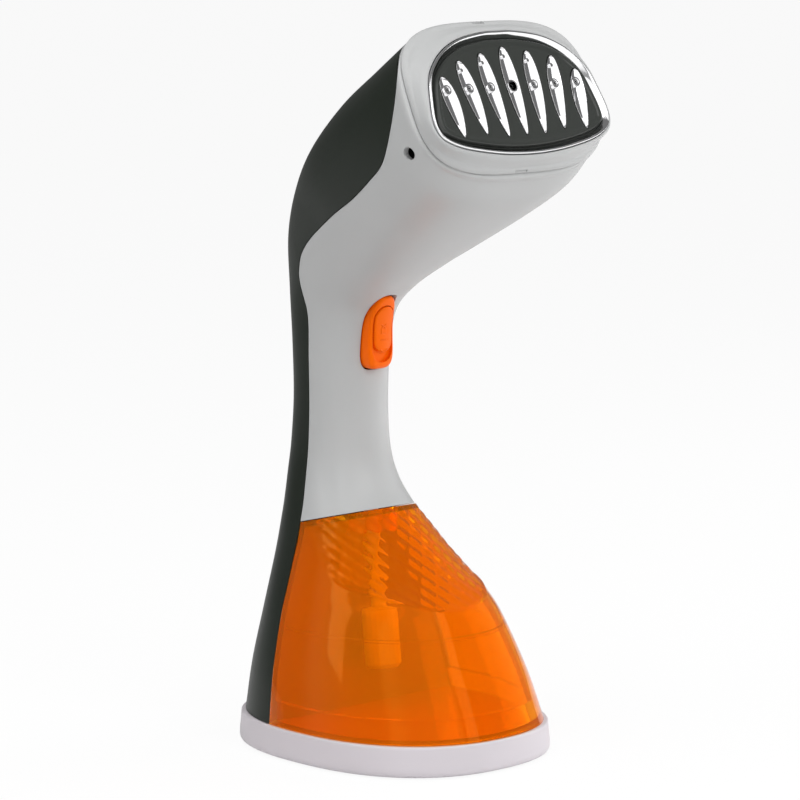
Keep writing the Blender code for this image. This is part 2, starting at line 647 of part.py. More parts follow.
chamber_outline = oval(34.0, 15.2, 3.2, 36, -1.8)
build("chamber_gasket", hoop([
    on_panel(chamber_outline, 6.6), on_panel(chamber_outline, 7.8),
    on_panel(inset_outline(chamber_outline, 3.6), 7.8), on_panel(inset_outline(chamber_outline, 3.6), 6.6),
]), "silicone_red", handle)
chamber = build("steam_chamber", panel_plate(chamber_outline, 8.1, 29.0), "cast_aluminium", handle)
cut(chamber, "chamber_nipple", panel_cylinder(2.2, 28, 38, 0, 0, 14), "UNION")
cut(chamber, "chamber_room", panel_plate(oval(30.4, 11.6, 3.2, 28, -1.8), 5, 25))
cut(chamber, "chamber_inlet", panel_cylinder(1.1, 20, 40, 0, 0, 12))
bracket = build("chamber_bracket", loft(skin(GRIP_SECTIONS[4:], WALL + 0.3, 3, 40)), "black_plastic", handle)
cut(bracket, "bracket_slab", panel_plate(oval(80, 80, 2, 32), 19.0, 21.5), "INTERSECT")
cut(bracket, "bracket_window", panel_plate(oval(34.3, 15.5, 3.2, 36, -1.8), 15, 25))
cut(bracket, "bracket_vent", panel_plate(oval(22, 5.5, 3, 24, -28), 15, 25))
bar = [
    (12, 8, 38), (12, 8, 34.6), (14.5, 8, 32.2), (22, 7, 31.9), (25, 3, 31.9),
    (26, -3, 31.9), (24, -9, 31.9), (17, -11, 31.9), (8, -11.4, 31.9), (0, -11.4, 31.9),
]
bar += [(-x, q, depth) for x, q, depth in bar[-2::-1]]
heater_path = [on_panel([(x, q)], depth)[0] for x, q, depth in bar]
build("heating_element", sweep(heater_path, 2.3, 0, 2, 8), "steel", handle)
build("thermostat", panel_cylinder(5.2, 29.3, 34.5, 0, 9.8, 20), "steel", handle)
fuse_at = on_panel([(0, -15.6)], 31.0)[0]
fuse = cylinder(1.6, -7, 7, fuse_at, (1, 0, 0), 14, bevel=0.4)
build("thermal_fuse", fuse, "white_plastic", handle)

# ---------------------------------------------------------------- spine: controls, cable entry, button
build("control_board", box((-15, 36.0, 34), (15, 37.6, 76)), "circuit_board", handle)
build("board_relay", box((-10, 38.0, 50), (4, 43.5, 68)), "black_plastic", handle)
build("terminal_block", box((-11, 27.0, 38), (11, 35.6, 47)), "white_plastic", handle)
gland_at = (0, 58.3, 24)
gland_axis = (0, 1, 0.116)
cut(rear_cover, "gland_bore", cylinder(5.3, -12, 10, gland_at, gland_axis, 24))
build("cord_gland", lathe(
    [(5.0, -8.0), (5.0, 0.3), (7.0, 0.5), (6.6, 1.7), (3.6, 1.7), (3.2, -8.0)], gland_at, gland_axis, 24,
), "rubber_black", handle)
build("cable_clamp", box((-8, 34.5, 17), (8, 45.5, 22.5)), "black_plastic", handle)
for sign, colour, tag in ((-1, "wire_red", "live"), (1, "wire_blue", "neutral")):
    terminal = on_panel([(sign * 12, 8)], 38.4)[0]
    approach = on_panel([(sign * 12, 8)], 43.0)[0]
    build("heater_wire_" + tag, sweep([
        (sign * 6, 39.4, 74), (sign * 5.5, 41.4, 84), (sign * 5, 42.4, 100), (sign * 5, 42.6, 130),
        (sign * 5.4, 42.2, 155), (sign * 6, 39.5, 180), (sign * 8, 27, 204), (sign * 10.5, 3, 226),
        tuple(approach), tuple(terminal),
    ], 1.1, 0, 3, 7), colour, handle)

BUTTON_Z = 66.0
button_frame = empty("release_button_frame", (0, 50.0, BUTTON_Z), handle)


def button_outline(grow):
    return [(x, BUTTON_Z + z) for x, z in oval(9.0 + grow, 5.5 + grow, 4.0, 28)]


cut(rear_cover, "button_window", front_prism(button_outline(0.35), 44, 62))
release_button = build("release_button", loft([
    np.array([(x, y, z) for x, z in button_outline(grow)])
    for y, grow in ((46.6, 0.0), (53.2, 0.0), (54.0, -0.4), (54.3, -1.2))
]), "trigger_orange", button_frame)
cut(release_button, "button_socket", cylinder(3.4, -4, 3.2, (0, 46.6, BUTTON_Z), (0, 1, 0)))
build("release_spring", coil((0, 46.3, BUTTON_Z), (0, 49.5, BUTTON_Z), 2.2, 0.35, 3), "steel", handle)

# ---------------------------------------------------------------- trigger and its switch
trigger_frame = empty("trigger_axis", (0, TRIGGER_PIN[0], TRIGGER_PIN[1]), handle)


def trigger_half_width(z):
    at = (z - (TRIGGER_TOP + TRIGGER_BOTTOM) / 2) / ((TRIGGER_TOP - TRIGGER_BOTTOM) / 2)
    power = 4.2 if at < 0 else 3.0
    return (TRIGGER_HALF - 0.3 * (at + 1)) * max(0.0, 1 - abs(at) ** power) ** (1 / power)


TRIGGER_FACE = [(142.0, 6.6), (146, 6.2), (152, 6.3), (158, 6.2), (162, 5.5), (166, 4.1), (170.6, 2.2)]


def trigger_face_y(z):
    heights, faces = zip(*TRIGGER_FACE)
    return float(np.interp(z, heights, faces))


def trigger_outline(inset, count=13):
    """(x, z) outline, clockwise from the top, in left and right pairs at equal heights."""
    span = (TRIGGER_TOP - TRIGGER_BOTTOM) / 2
    middle = (TRIGGER_TOP + TRIGGER_BOTTOM) / 2
    angles = (np.arange(count) + 0.5) * math.pi / count
    right = []
    for angle in angles:
        z = middle + span * math.cos(angle)
        shrink = 1 - inset / span
        right.append((trigger_half_width(z) - inset * 0.9, middle + (z - middle) * shrink))
    return right + [(-x, z) for x, z in right[::-1]]


def faced_body(outlines, depths, back):
    """Loft toward -Y whose front follows the trigger's face; outline points come in mirrored pairs."""
    layers = [[(x, back, z) for x, z in outlines[0]]]
    for outline, depth in zip(outlines, depths):
        layers.append([(x, trigger_face_y(z) + depth, z) for x, z in outline])
    points, faces = loft([np.array(layer) for layer in layers])
    count = len(layers[0])
    faces = faces[2:]
    for first in (0, (len(layers) - 1) * count):
        for i in range(count // 2 - 1):
            faces.append((first + i, first + i + 1, first + count - 2 - i, first + count - 1 - i))
    return points, faces


trigger = build("trigger", faced_body(
    [trigger_outline(0.0), trigger_outline(0.35), trigger_outline(1.1)], (1.3, 0.5, 0.0), TRIGGER_BACK,
), "trigger_orange", trigger_frame)
RECESS_LOW, RECESS_HIGH, RECESS_HALF = 144.8, 166.6, 4.9
SLIDER_LENGTH = 17.6


def stadium(half, low, high, inset=0.0):
    """(x, z) outline of a long round-ended slot, in mirrored pairs from the top down."""
    half, low, high = half - inset, low + inset, high - inset
    ends = np.arange(1, 10, 2) * math.pi / 18
    right = [(half * math.sin(a), high - half + half * math.cos(a)) for a in ends]
    right += [(half, z) for z in np.linspace(high - half, low + half, 4)]
    right += [(half * math.cos(a), low + half - half * math.sin(a)) for a in ends[::-1] * -1 + math.pi / 2]
    return right + [(-x, z) for x, z in right[::-1]]


recess = stadium(RECESS_HALF, RECESS_LOW, RECESS_HIGH)
cut(trigger, "trigger_recess", loft([np.array([(x, y, z) for x, z in recess]) for y in (-8, 7.5)]))
cut(trigger, "trigger_pin_bore", cylinder(1.4, -12, 12, (0, *TRIGGER_PIN), (1, 0, 0), 16))
cut(front_housing, "trigger_window", front_prism(
    [(x + math.copysign(0.1, x), z) for x, z in trigger_outline(-0.45)], -20, 19,
))
lock_frame = empty("lock_slider_frame", (0, 6.6, (RECESS_HIGH + RECESS_LOW) / 2), trigger_frame)
slider_high = RECESS_HIGH - 0.3
slider_low = slider_high - SLIDER_LENGTH
build("trigger_lock_slider", faced_body(
    [stadium(4.3, slider_low, slider_high, inset) for inset in (0.0, 0.25)], (-0.2, -0.6), 7.2,
), "trigger_orange", lock_frame)
build("trigger_pin", cylinder(1.1, -9.6, 9.6, (0, *TRIGGER_PIN), (1, 0, 0), 16), "steel", handle)
chassis = build("trigger_chassis", box((-9.0, 8.5, 145.2), (9.0, 27.6, 172)), "black_plastic", handle)
cut(chassis, "chassis_room", box((-7.6, 0, 140), (7.6, 25.8, 180)))
cut(chassis, "chassis_pin_bore", cylinder(1.4, -12, 12, (0, *TRIGGER_PIN), (1, 0, 0), 16))
cut(chassis, "chassis_front", side_prism([
    (-5, 175), (8, 172), (10.3, 167.4), (14.2, 161), (16.2, 157.2), (18.8, 151), (18.8, 130), (-5, 130),
]))
build("trigger_spring", coil((0, 16.3, 148.2), (0, 25.5, 148.2), 2.3, 0.35, 5), "steel", handle)
switch = build("microswitch", box((-4.8, 20.6, 152.2), (4.8, 25.5, 163.8)), "black_plastic", handle)
cut(switch, "plunger_bore", cylinder(1.7, 17, 24.6, (0, 0, 155), (0, 1, 0), 14))
plunger_frame = empty("switch_plunger_frame", (0, 18, 155), handle)
plunger = cylinder(1.4, 16.3, 22.4, (0, 0, 155), (0, 1, 0), 14, bevel=0.25)
build("switch_plunger", plunger, "white_plastic", plunger_frame)

# ---------------------------------------------------------------- screws and the flank holes
SCREWS = {"upper_left": (-9, 212), "upper_right": (9, 212), "grip": (0, 118), "spine": (0, 44)}  # x, z
screw_path = spline(rear_sections, 6)
for place, (x, height) in SCREWS.items():
    nearest = screw_path[np.argmin(np.abs(screw_path[:, 3] - height))]
    ring = section_ring(nearest, 0, 720)
    behind = ring[ring[:, 1] > (nearest[0] + nearest[2]) / 2]
    at = behind[np.argmin(np.abs(behind[:, 0] - x))]
    ahead = screw_path[min(np.argmin(np.abs(screw_path[:, 3] - height)) + 3, len(screw_path) - 1)]
    rise = np.array([0, ahead[2] - nearest[2], ahead[3] - nearest[3]])
    outward = np.array([x * 0.030, rise[2], -rise[1]])
    outward[1:] /= np.linalg.norm(outward[1:])
    outward /= np.linalg.norm(outward)
    cut(rear_cover, "screw_bore_" + place, cylinder(3.2, -8, 4, at, outward, 16))
    screw = build("screw_" + place, cylinder(2.8, -3.4, -1.4, at, outward, 16, bevel=0.2), "steel", handle)
    cut(screw, "screw_drive_" + place, cylinder(1.2, -2.2, 2, at, outward, 6))
for sign, flank in ((-1, "left"), (1, "right")):
    hole = cylinder(2.3, 42.0, 60, (0, -56.8, 230.3), (sign, 0, 0), 18)
    cut(front_housing, "flank_dimple_" + flank, hole)
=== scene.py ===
"""Look of the handheld steamer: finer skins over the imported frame, materials, light and camera."""

import json
import math

import bmesh
import bpy
import numpy as np
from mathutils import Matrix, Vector


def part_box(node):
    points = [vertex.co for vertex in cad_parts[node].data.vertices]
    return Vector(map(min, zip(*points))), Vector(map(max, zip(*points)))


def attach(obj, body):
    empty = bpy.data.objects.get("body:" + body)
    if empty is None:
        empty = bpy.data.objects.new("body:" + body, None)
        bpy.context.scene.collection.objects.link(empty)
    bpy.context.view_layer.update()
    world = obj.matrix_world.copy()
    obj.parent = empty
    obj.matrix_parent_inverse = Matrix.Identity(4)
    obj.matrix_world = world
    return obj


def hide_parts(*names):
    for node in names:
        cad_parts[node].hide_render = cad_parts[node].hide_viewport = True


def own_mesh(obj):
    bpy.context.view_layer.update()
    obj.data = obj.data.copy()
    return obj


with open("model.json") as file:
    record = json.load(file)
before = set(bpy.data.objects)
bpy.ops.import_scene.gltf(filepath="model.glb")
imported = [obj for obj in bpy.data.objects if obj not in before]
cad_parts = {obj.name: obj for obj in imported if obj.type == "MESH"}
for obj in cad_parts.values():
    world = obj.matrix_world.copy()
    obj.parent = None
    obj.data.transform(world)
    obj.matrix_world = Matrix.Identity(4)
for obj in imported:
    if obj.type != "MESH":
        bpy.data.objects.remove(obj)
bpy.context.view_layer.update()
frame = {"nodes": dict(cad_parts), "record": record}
scene = bpy.context.scene
nodes = frame["nodes"]

# The drawing's own frame is in millimetres from the middle of the base; SHIFT takes it to the row frame.
SHIFT = np.array([0.0, 6.693, 1.2])
GAP = 0.15
WALL = 2.2
TANK_WALL, TANK_FLOOR = 2.0, 0.7
BASE_HALF_X, BASE_HALF_Y, BASE_N = 50.4, 60.4, 2.4
BASE_TOP, BASE_BOTTOM = 10.9, -0.5
# Lower edge of the tank and of the spine, just clear of the base.
LOW_EDGE = BASE_TOP + 0.3
SPLIT_Y0, SPLIT_LEAN = 15.4, 0.118
SEAM_POINT, SEAM_SLOPE = (25.3, 84.3), -0.2475
NECK_Y, NECK_Z, NECK_R = 12.8, 88.0, 8.2
SKIRT_TOP, SKIRT_WALL = 19.5, 4.6
PANEL_Y, PANEL_Z, PANEL_TILT = -62.5, 252.0, math.radians(24)
TRIM_WIDTH = 1.4
LIFT = Vector((0, SPLIT_LEAN, 1)).normalized()
TRIGGER_BOTTOM, TRIGGER_TOP, TRIGGER_HALF, TRIGGER_BACK = 142.2, 170.4, 6.5, 16.0
TRIGGER_PIN = (13.0, 166.5)

# Sections: front point (y, z), back point (y, z), half width, roundness exponent.
TANK_SECTIONS = [
    (-59.8, 11, 59.8, 11, 49.8, 2.25), (-51.8, 30, 57.6, 30, 45.9, 2.25), (-41.8, 50, 54.8, 50, 39.9, 2.2),
    (-36.0, 60, 53.7, 60, 35.9, 2.05), (-30.0, 70, 52.6, 70, 31.5, 2.05), (-25.0, 80, 51.8, 80, 27.0, 2.15),
    (-17.0, 92, 51.0, 92, 23.0, 2.25), (-10.0, 102, 50.6, 102, 20.5, 2.25),
]
SCOOP_SECTIONS = [
    (-70.0, 4, 66.0, 4, 105.0, 2.2), (-66.0, 30, 60.0, 30, 95.0, 2.2), (-58.0, 46, 55.2, 46, 80.0, 2.2),
    (-40.0, 55, 54.2, 55, 54.0, 2.1), (-30.0, 62.5, 53.3, 62.5, 38.0, 2.0), (-21.0, 70, 52.6, 70, 32.7, 2.0),
    (-10.0, 80, 51.8, 80, 27.2, 2.1), (0.0, 90, 51.2, 90, 22.4, 2.2), (6.8, 100, 50.7, 100, 19.2, 2.2),
]
GRIP_SECTIONS = [
    (10.0, 112, 49.8, 112, 17.0, 2.2), (10.8, 130, 48.7, 130, 16.2, 2.2),
    (10.4, 149.0, 48.4, 151.7, 16.9, 2.3), (8.1, 163.1, 48.1, 172.7, 18.5, 2.45),
    (-0.7, 172.4, 44.9, 195.4, 23.8, 2.45), (-14.9, 181.1, 36.1, 215.3, 30.2, 2.35),
    (-30.4, 190.1, 21.4, 231.4, 37.0, 2.45), (-47.8, 200.5, -0.9, 248.3, 43.0, 2.6),
    (-61.4, 209.9, -23.3, 261.8, 46.6, 2.7), (-67.6, 218.6, -43.9, 274.5, 47.4, 2.85),
]
SPINE_SECTIONS = TANK_SECTIONS[:3] + [
    (-31.0, 70, 52.6, 70, 31.6, 2.25), (-14.0, 84, 51.5, 84, 25.4, 2.25), (-1.0, 92, 51.1, 92, 21.9, 2.2),
    (6.8, 100, 50.7, 100, 19.2, 2.2),
]
RIM_FRONT = [(-69.0, 219.6, -44.9, 275.0, 47.1, 2.9), (-69.4, 220.8, -45.7, 274.4, 46.2, 2.95)]
# Line between the two housing halves (y, z), from the tank's back corner up to the head's rim.
PARTING = [
    (25.4, 84.3), (27.2, 92), (28.5, 99), (29.5, 110), (29.8, 130), (29.6, 145), (28.9, 157),
    (29.0, 164), (30.2, 170), (30.8, 175), (29.4, 180), (24.4, 187), (14.0, 194.2),
    (-3.9, 203.4), (-19.7, 210.8), (-33.2, 218.8), (-42.0, 225.2), (-46.9, 233.0),
    (-49.8, 242.0), (-51.4, 250.0), (-51.6, 256.5), (-49.8, 262.5), (-46.0, 267.3),
    (-40.0, 271.4), (-33.0, 276.0),
]
# Right half, seen from the front, of the trim ring's outline (x, up) in the panel's own plane.
TRIM_HALF = [
    (0, 21.2), (8, 21.0), (20.5, 18.9), (30, 14.8), (36.8, 9.2), (40.3, 3.8), (42.3, -3), (43.7, -10),
    (43.3, -14.8), (40.8, -18.3), (34.2, -21.4), (25, -23.5), (13, -25.2), (0, -25.8),
]
# Ring and panel stand this far in front of the plane that they are laid out in.
PANEL_PROUD = 1.07
# Steam channels from the middle to the right, seen from the front: hole, top and bottom (x, up).
CHANNELS = [
    ((0.0, 0.3), (0.0, 15.2), (0.0, -18.4)), ((10.9, 0.3), (11.6, 13.2), (9.2, -18.6)),
    ((21.6, 0.3), (23.3, 10.8), (19.6, -17.2)), ((32.6, 0.3), (33.6, 5.2), (30.9, -17.8)),
]
CHANNEL_HALF_WIDTH = 3.8
# Depth of a channel's groove, and where its valley is: -1 is the left edge, 1 the right one.
VALLEY_DEPTH, VALLEY_AT = 1.15, 0.0
# Front of the trigger (z, y).
TRIGGER_FACE = [(142.0, 6.6), (146, 6.2), (152, 6.3), (158, 6.2), (162, 5.5), (166, 4.1), (170.6, 2.2)]
RECESS_LOW, RECESS_HIGH, RECESS_HALF, SLIDER_LENGTH = 144.8, 166.6, 4.9, 17.6
SLIDER_HALF, PIN_HOLE = 4.3, 1.4
FLANK_HOLE, FLANK_HOLE_AT = 2.3, (0, -56.8, 230.3)
GLAND_HOLE, GLAND_AT, GLAND_AXIS = 5.3, (0, 58.3, 24), (0, 1, 0.116)
BUTTON_Z, BUTTON_HALF_X, BUTTON_HALF_Z = 66.0, 9.0, 5.5
OUTLINE_POINTS = 224
SPRING_WIRE, MARK_RELIEF = 0.35, 0.16
MM = 0.001


# ---------------------------------------------------------------- shapes, in millimetres
def spline(keys, steps):
    """Smooth curve through all keys, with `steps` points for each stretch."""
    keys = np.array(keys, float)
    rise = np.diff(keys, axis=0)
    tangent = np.vstack([rise[:1], (rise[1:] + rise[:-1]) / 2, rise[-1:]])
    rows = []
    for i in range(len(keys) - 1):
        for t in np.arange(steps) / steps:
            h = 2 * t**3 - 3 * t**2 + 1, t**3 - 2 * t**2 + t, 3 * t**2 - 2 * t**3, t**3 - t**2
            rows.append(h[0] * keys[i] + h[1] * tangent[i] + h[2] * keys[i + 1] + h[3] * tangent[i + 1])
    return np.array(rows + [keys[-1]])


def section_ring(row, inset, count):
    """Superellipse between a section's front and back points."""
    front, back = np.array(row[0:2]), np.array(row[2:4])
    length = np.linalg.norm(back - front)
    along = (back - front) / length
    middle = (front + back) / 2
    half, half_width, power = length / 2 - inset, row[4] - inset, 2 / row[5]
    angles = (np.arange(count) + 0.5) * 2 * math.pi / count
    sines, cosines = np.sin(angles), np.cos(angles)
    across = half_width * np.sign(sines) * np.abs(sines) ** power
    depth = -half * np.sign(cosines) * np.abs(cosines) ** power
    return np.column_stack([across, middle[0] + along[0] * depth, middle[1] + along[1] * depth])


def skin(sections, inset=0.0, steps=10, count=160):
    return [section_ring(row, inset, count) for row in spline(sections, steps)]


def loft(rings):
    """Points and faces of a solid through rings of equal count, with both ends closed."""
    count = len(rings[0])
    faces = [tuple(range(count)), tuple(range((len(rings) - 1) * count, len(rings) * count))]
    for j in range(len(rings) - 1):
        for i in range(count):
            k = (i + 1) % count
            faces.append((j * count + i, j * count + k, (j + 1) * count + k, (j + 1) * count + i))
    return np.vstack(rings), faces


def hoop(rings):
    """Closed band: each point of its cross-section gives one ring, and the last joins the first."""
    points, faces = loft(list(rings) + [rings[0]])
    total = len(rings) * len(rings[0])
    return points[:total], [tuple(i % total for i in face) for face in faces[2:]]


def lathe(profile, centre, axis=(0, 0, 1), steps=48):
    """Turned solid from (radius, height) points; a profile that starts off the axis makes a band."""
    turn = Vector((0, 0, 1)).rotation_difference(Vector(axis)).to_matrix()
    closed = profile[0][0] > 0
    rings = []
    for radius, height in [p for p in profile if p[0] > 0]:
        angles = np.arange(steps) * 2 * math.pi / steps
        ring = np.column_stack(
            [radius * np.cos(angles), radius * np.sin(angles), np.full(steps, float(height))]
        )
        rings.append(ring @ np.array(turn).T + np.array(centre))
    return hoop(rings) if closed else loft(rings)


def cylinder(radius, low, high, centre, axis=(0, 0, 1), steps=48, bevel=0.0):
    if not bevel:
        return lathe([(0, low), (radius, low), (radius, high), (0, high)], centre, axis, steps)
    inner = radius - bevel
    mid = radius - bevel * 0.3
    profile = [(0, low), (inner, low), (mid, low + bevel * 0.3), (radius, low + bevel)]
    profile += [(radius, high - bevel), (mid, high - bevel * 0.3), (inner, high), (0, high)]
    return lathe(profile, centre, axis, steps)


def box(low, high):
    corners = [(low[0], low[1]), (high[0], low[1]), (high[0], high[1]), (low[0], high[1])]
    return loft([np.array([(x, y, z) for x, y in corners]) for z in (low[2], high[2])])


def coil(start_y, end_y, z, radius, wire, turns, per_turn=24, sides=10):
    """Round wire wound round an axis along Y, with both ends inside the two planes."""
    pitch = (end_y - start_y - 2 * wire) / turns
    rings = []
    for angle in np.linspace(0, 2 * math.pi * turns, turns * per_turn + 1):
        outward = np.array([math.cos(angle), 0.0, math.sin(angle)])
        along = np.array([-radius * outward[2], pitch / (2 * math.pi), radius * outward[0]])
        across = np.cross(along, outward)
        across /= np.linalg.norm(across)
        middle = radius * outward + (0.0, start_y + wire + pitch * angle / (2 * math.pi), z)
        turn = np.arange(sides) * 2 * math.pi / sides
        rings.append(middle + wire * (np.outer(np.cos(turn), outward) + np.outer(np.sin(turn), across)))
    return loft(rings)


def side_prism(outline, half_width=90.0):
    """Side view (y, z) drawn out across the whole width."""
    left = np.array([(-half_width, y, z) for y, z in outline])
    return loft([left, left * np.array([-1, 1, 1])])


def front_prism(outline, back, front):
    """Front view (x, z) drawn out from one y to another."""
    return loft([np.array([(x, y, z) for x, z in outline]) for y in (back, front)])


def shifted(curve, distance):
    """Curve moved sideways, to its left."""
    curve = np.array(curve, float)
    direction = np.gradient(curve, axis=0)
    direction /= np.linalg.norm(direction, axis=1)[:, None]
    return curve + distance * np.column_stack([-direction[:, 1], direction[:, 0]])


def closed_outline(half, count=192):
    """Smooth mirrored outline with evenly spaced points."""
    whole = [tuple(p) for p in half] + [(-x, q) for x, q in half[-2:0:-1]]
    fine = spline(whole[-2:] + whole + whole[:3], 16)[32:-32]
    length = np.concatenate([[0], np.cumsum(np.linalg.norm(np.diff(fine, axis=0), axis=1))])
    at = np.arange(count) * length[-1] / count
    return np.column_stack([np.interp(at, length, fine[:, k]) for k in (0, 1)])


def inset_outline(outline, distance):
    direction = np.roll(outline, -1, axis=0) - np.roll(outline, 1, axis=0)
    direction /= np.linalg.norm(direction, axis=1)[:, None]
    return outline + distance * np.column_stack([direction[:, 1], -direction[:, 0]])


def oval(half_x, half_y, power, count=192, middle=0.0):
    angles = np.arange(count) * 2 * math.pi / count
    sines, cosines = np.sin(angles), np.cos(angles)
    x = half_x * np.sign(sines) * np.abs(sines) ** (2 / power)
    return np.column_stack([x, middle + half_y * np.sign(cosines) * np.abs(cosines) ** (2 / power)])


# Directions in the tilted plane of the head's front, and into the head.
PANEL_UP = np.array([0, math.sin(PANEL_TILT), math.cos(PANEL_TILT)])
PANEL_IN = np.array([0, math.cos(PANEL_TILT), -math.sin(PANEL_TILT)])
PANEL_MIDDLE = np.array([0, PANEL_Y, PANEL_Z])


def on_panel(outline, depth):
    """Points (x, up) of the panel's plane, `depth` into the head."""
    outline = np.atleast_2d(outline)
    depth = np.broadcast_to(np.array(depth, float), (len(outline),))
    points = PANEL_MIDDLE + outline[:, 1:2] * PANEL_UP + depth[:, None] * PANEL_IN
    return points + outline[:, 0:1] * np.array([1.0, 0, 0])


def panel_plate(outline, front, back):
    return loft([on_panel(outline, front), on_panel(outline, back)])


def panel_cylinder(radius, front, back, x, q, steps=40, bevel=0.0):
    return cylinder(radius, front, back, on_panel([(x, q)], 0)[0], PANEL_IN, steps, bevel)


# ---------------------------------------------------------------- mesh objects
def build(name, shape):
    """Mesh object in metres in the row frame, from points and faces in drawing millimetres."""
    points, faces = shape
    points = (np.array([tuple(p) for p in points], float) + SHIFT) * MM
    mesh = bpy.data.meshes.new(name)
    mesh.from_pydata([tuple(p) for p in points], [], faces)
    tidy = bmesh.new()
    tidy.from_mesh(mesh)
    bmesh.ops.remove_doubles(tidy, verts=tidy.verts, dist=1e-6)
    bmesh.ops.recalc_face_normals(tidy, faces=tidy.faces)
    if tidy.calc_volume(signed=True) < 0:
        bmesh.ops.reverse_faces(tidy, faces=tidy.faces)
    tidy.to_mesh(mesh)
    tidy.free()
    made = bpy.data.objects.new(name, mesh)
    scene.collection.objects.link(made)
    return made


def boolean(target, other, operation="DIFFERENCE"):
    """Cuts with `other` and applies it at once; the cutter is removed."""
    step = target.modifiers.new("cut", "BOOLEAN")
    step.operation = operation
    step.solver = "MANIFOLD"
    step.object = other
    graph = bpy.context.evaluated_depsgraph_get()
    mesh = bpy.data.meshes.new_from_object(target.evaluated_get(graph))
    target.modifiers.clear()
    old, target.data = target.data, mesh
    bpy.data.meshes.remove(old)
    bpy.data.objects.remove(other, do_unlink=True)
    return target


def cut(target, shape, operation="DIFFERENCE"):
    return boolean(target, build("cutter", shape), operation)


def finish_piece(piece, body, replaced, material, sharp=38.0):
    """Smooth shading, material, and the body that the piece goes with; the CAD node that it stands for is
    hidden.
    """
    mesh = piece.data
    mesh.polygons.foreach_set("use_smooth", [True] * len(mesh.polygons))
    mesh.set_sharp_from_angle(angle=math.radians(sharp))
    mesh.materials.clear()
    mesh.materials.append(material)
    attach(piece, body)
    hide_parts(replaced)


# ---------------------------------------------------------------- materials
EDGE_SAMPLES = 6
BUMP_DISTANCE = 0.0002


def new_material(name):
    material = bpy.data.materials.new(name)
    material.use_nodes = True
    tree = material.node_tree
    return material, tree, tree.nodes["Principled BSDF"]


def add(tree, kind, **values):
    """New shader node; each value goes to the input of that name, or else to the property."""
    node = tree.nodes.new(kind)
    for key, value in values.items():
        if key in node.inputs:
            node.inputs[key].default_value = value
        else:
            setattr(node, key, value)
    return node


def bumped_normal(tree, shader, height, strength, edge, distance=BUMP_DISTANCE):
    """Bump from a height output, over edges softened to the radius `edge`."""
    bump = add(tree, "ShaderNodeBump", Strength=strength, Distance=distance)
    soft = add(tree, "ShaderNodeBevel", samples=EDGE_SAMPLES, Radius=edge)
    tree.links.new(height, bump.inputs["Height"])
    tree.links.new(soft.outputs["Normal"], bump.inputs["Normal"])
    tree.links.new(bump.outputs["Normal"], shader.inputs["Normal"])


def moulded(name, colour, rough=0.3, grain=0.05, variation=0.04, coat=0.0, specular=0.5, shine=(1, 1, 1)):
    """Injection-moulded plastic: faint mottling, fine grain in bump and roughness, softened edges."""
    material, tree, shader = new_material(name)
    link = tree.links.new
    where = add(tree, "ShaderNodeTexCoord")
    cloud = add(tree, "ShaderNodeTexNoise", Scale=28.0, Detail=3.0, Roughness=0.5)
    link(where.outputs["Object"], cloud.inputs["Vector"])
    tint = add(tree, "ShaderNodeMix", data_type="RGBA")
    darker = [c * (1 - variation) for c in colour]
    lighter = [min(1.0, c * (1 + variation)) for c in colour]
    tint.inputs[6].default_value = (*darker, 1)
    tint.inputs[7].default_value = (*lighter, 1)
    link(cloud.outputs["Fac"], tint.inputs[0])
    link(tint.outputs[2], shader.inputs["Base Color"])
    fine = add(tree, "ShaderNodeTexNoise", Scale=900.0, Detail=2.0, Roughness=0.6)
    link(where.outputs["Object"], fine.inputs["Vector"])
    spread = add(tree, "ShaderNodeMapRange")
    spread.inputs["To Min"].default_value = max(0.02, rough - 0.05)
    spread.inputs["To Max"].default_value = rough + 0.05
    link(cloud.outputs["Fac"], spread.inputs["Value"])
    link(spread.outputs["Result"], shader.inputs["Roughness"])
    bumped_normal(tree, shader, fine.outputs["Fac"], grain, 0.00035)
    shader.inputs["Coat Weight"].default_value = coat
    shader.inputs["Coat Roughness"].default_value = 0.06
    shader.inputs["Specular IOR Level"].default_value = specular
    shader.inputs["Specular Tint"].default_value = (*shine, 1)
    return material


def metal(name, colour, rough=0.1, grain=0.02, scale=400.0):
    """Metal whose roughness varies a little with a fine noise that also makes its bump."""
    material, tree, shader = new_material(name)
    link = tree.links.new
    where = add(tree, "ShaderNodeTexCoord")
    fine = add(tree, "ShaderNodeTexNoise", Scale=scale, Detail=3.0)
    link(where.outputs["Object"], fine.inputs["Vector"])
    spread = add(tree, "ShaderNodeMapRange")
    spread.inputs["To Min"].default_value = max(0.01, rough * 0.7)
    spread.inputs["To Max"].default_value = rough * 1.3
    link(fine.outputs["Fac"], spread.inputs["Value"])
    link(spread.outputs["Result"], shader.inputs["Roughness"])
    bumped_normal(tree, shader, fine.outputs["Fac"], grain, 0.0002)
    shader.inputs["Base Color"].default_value = (*colour, 1)
    shader.inputs["Metallic"].default_value = 1.0
    return material


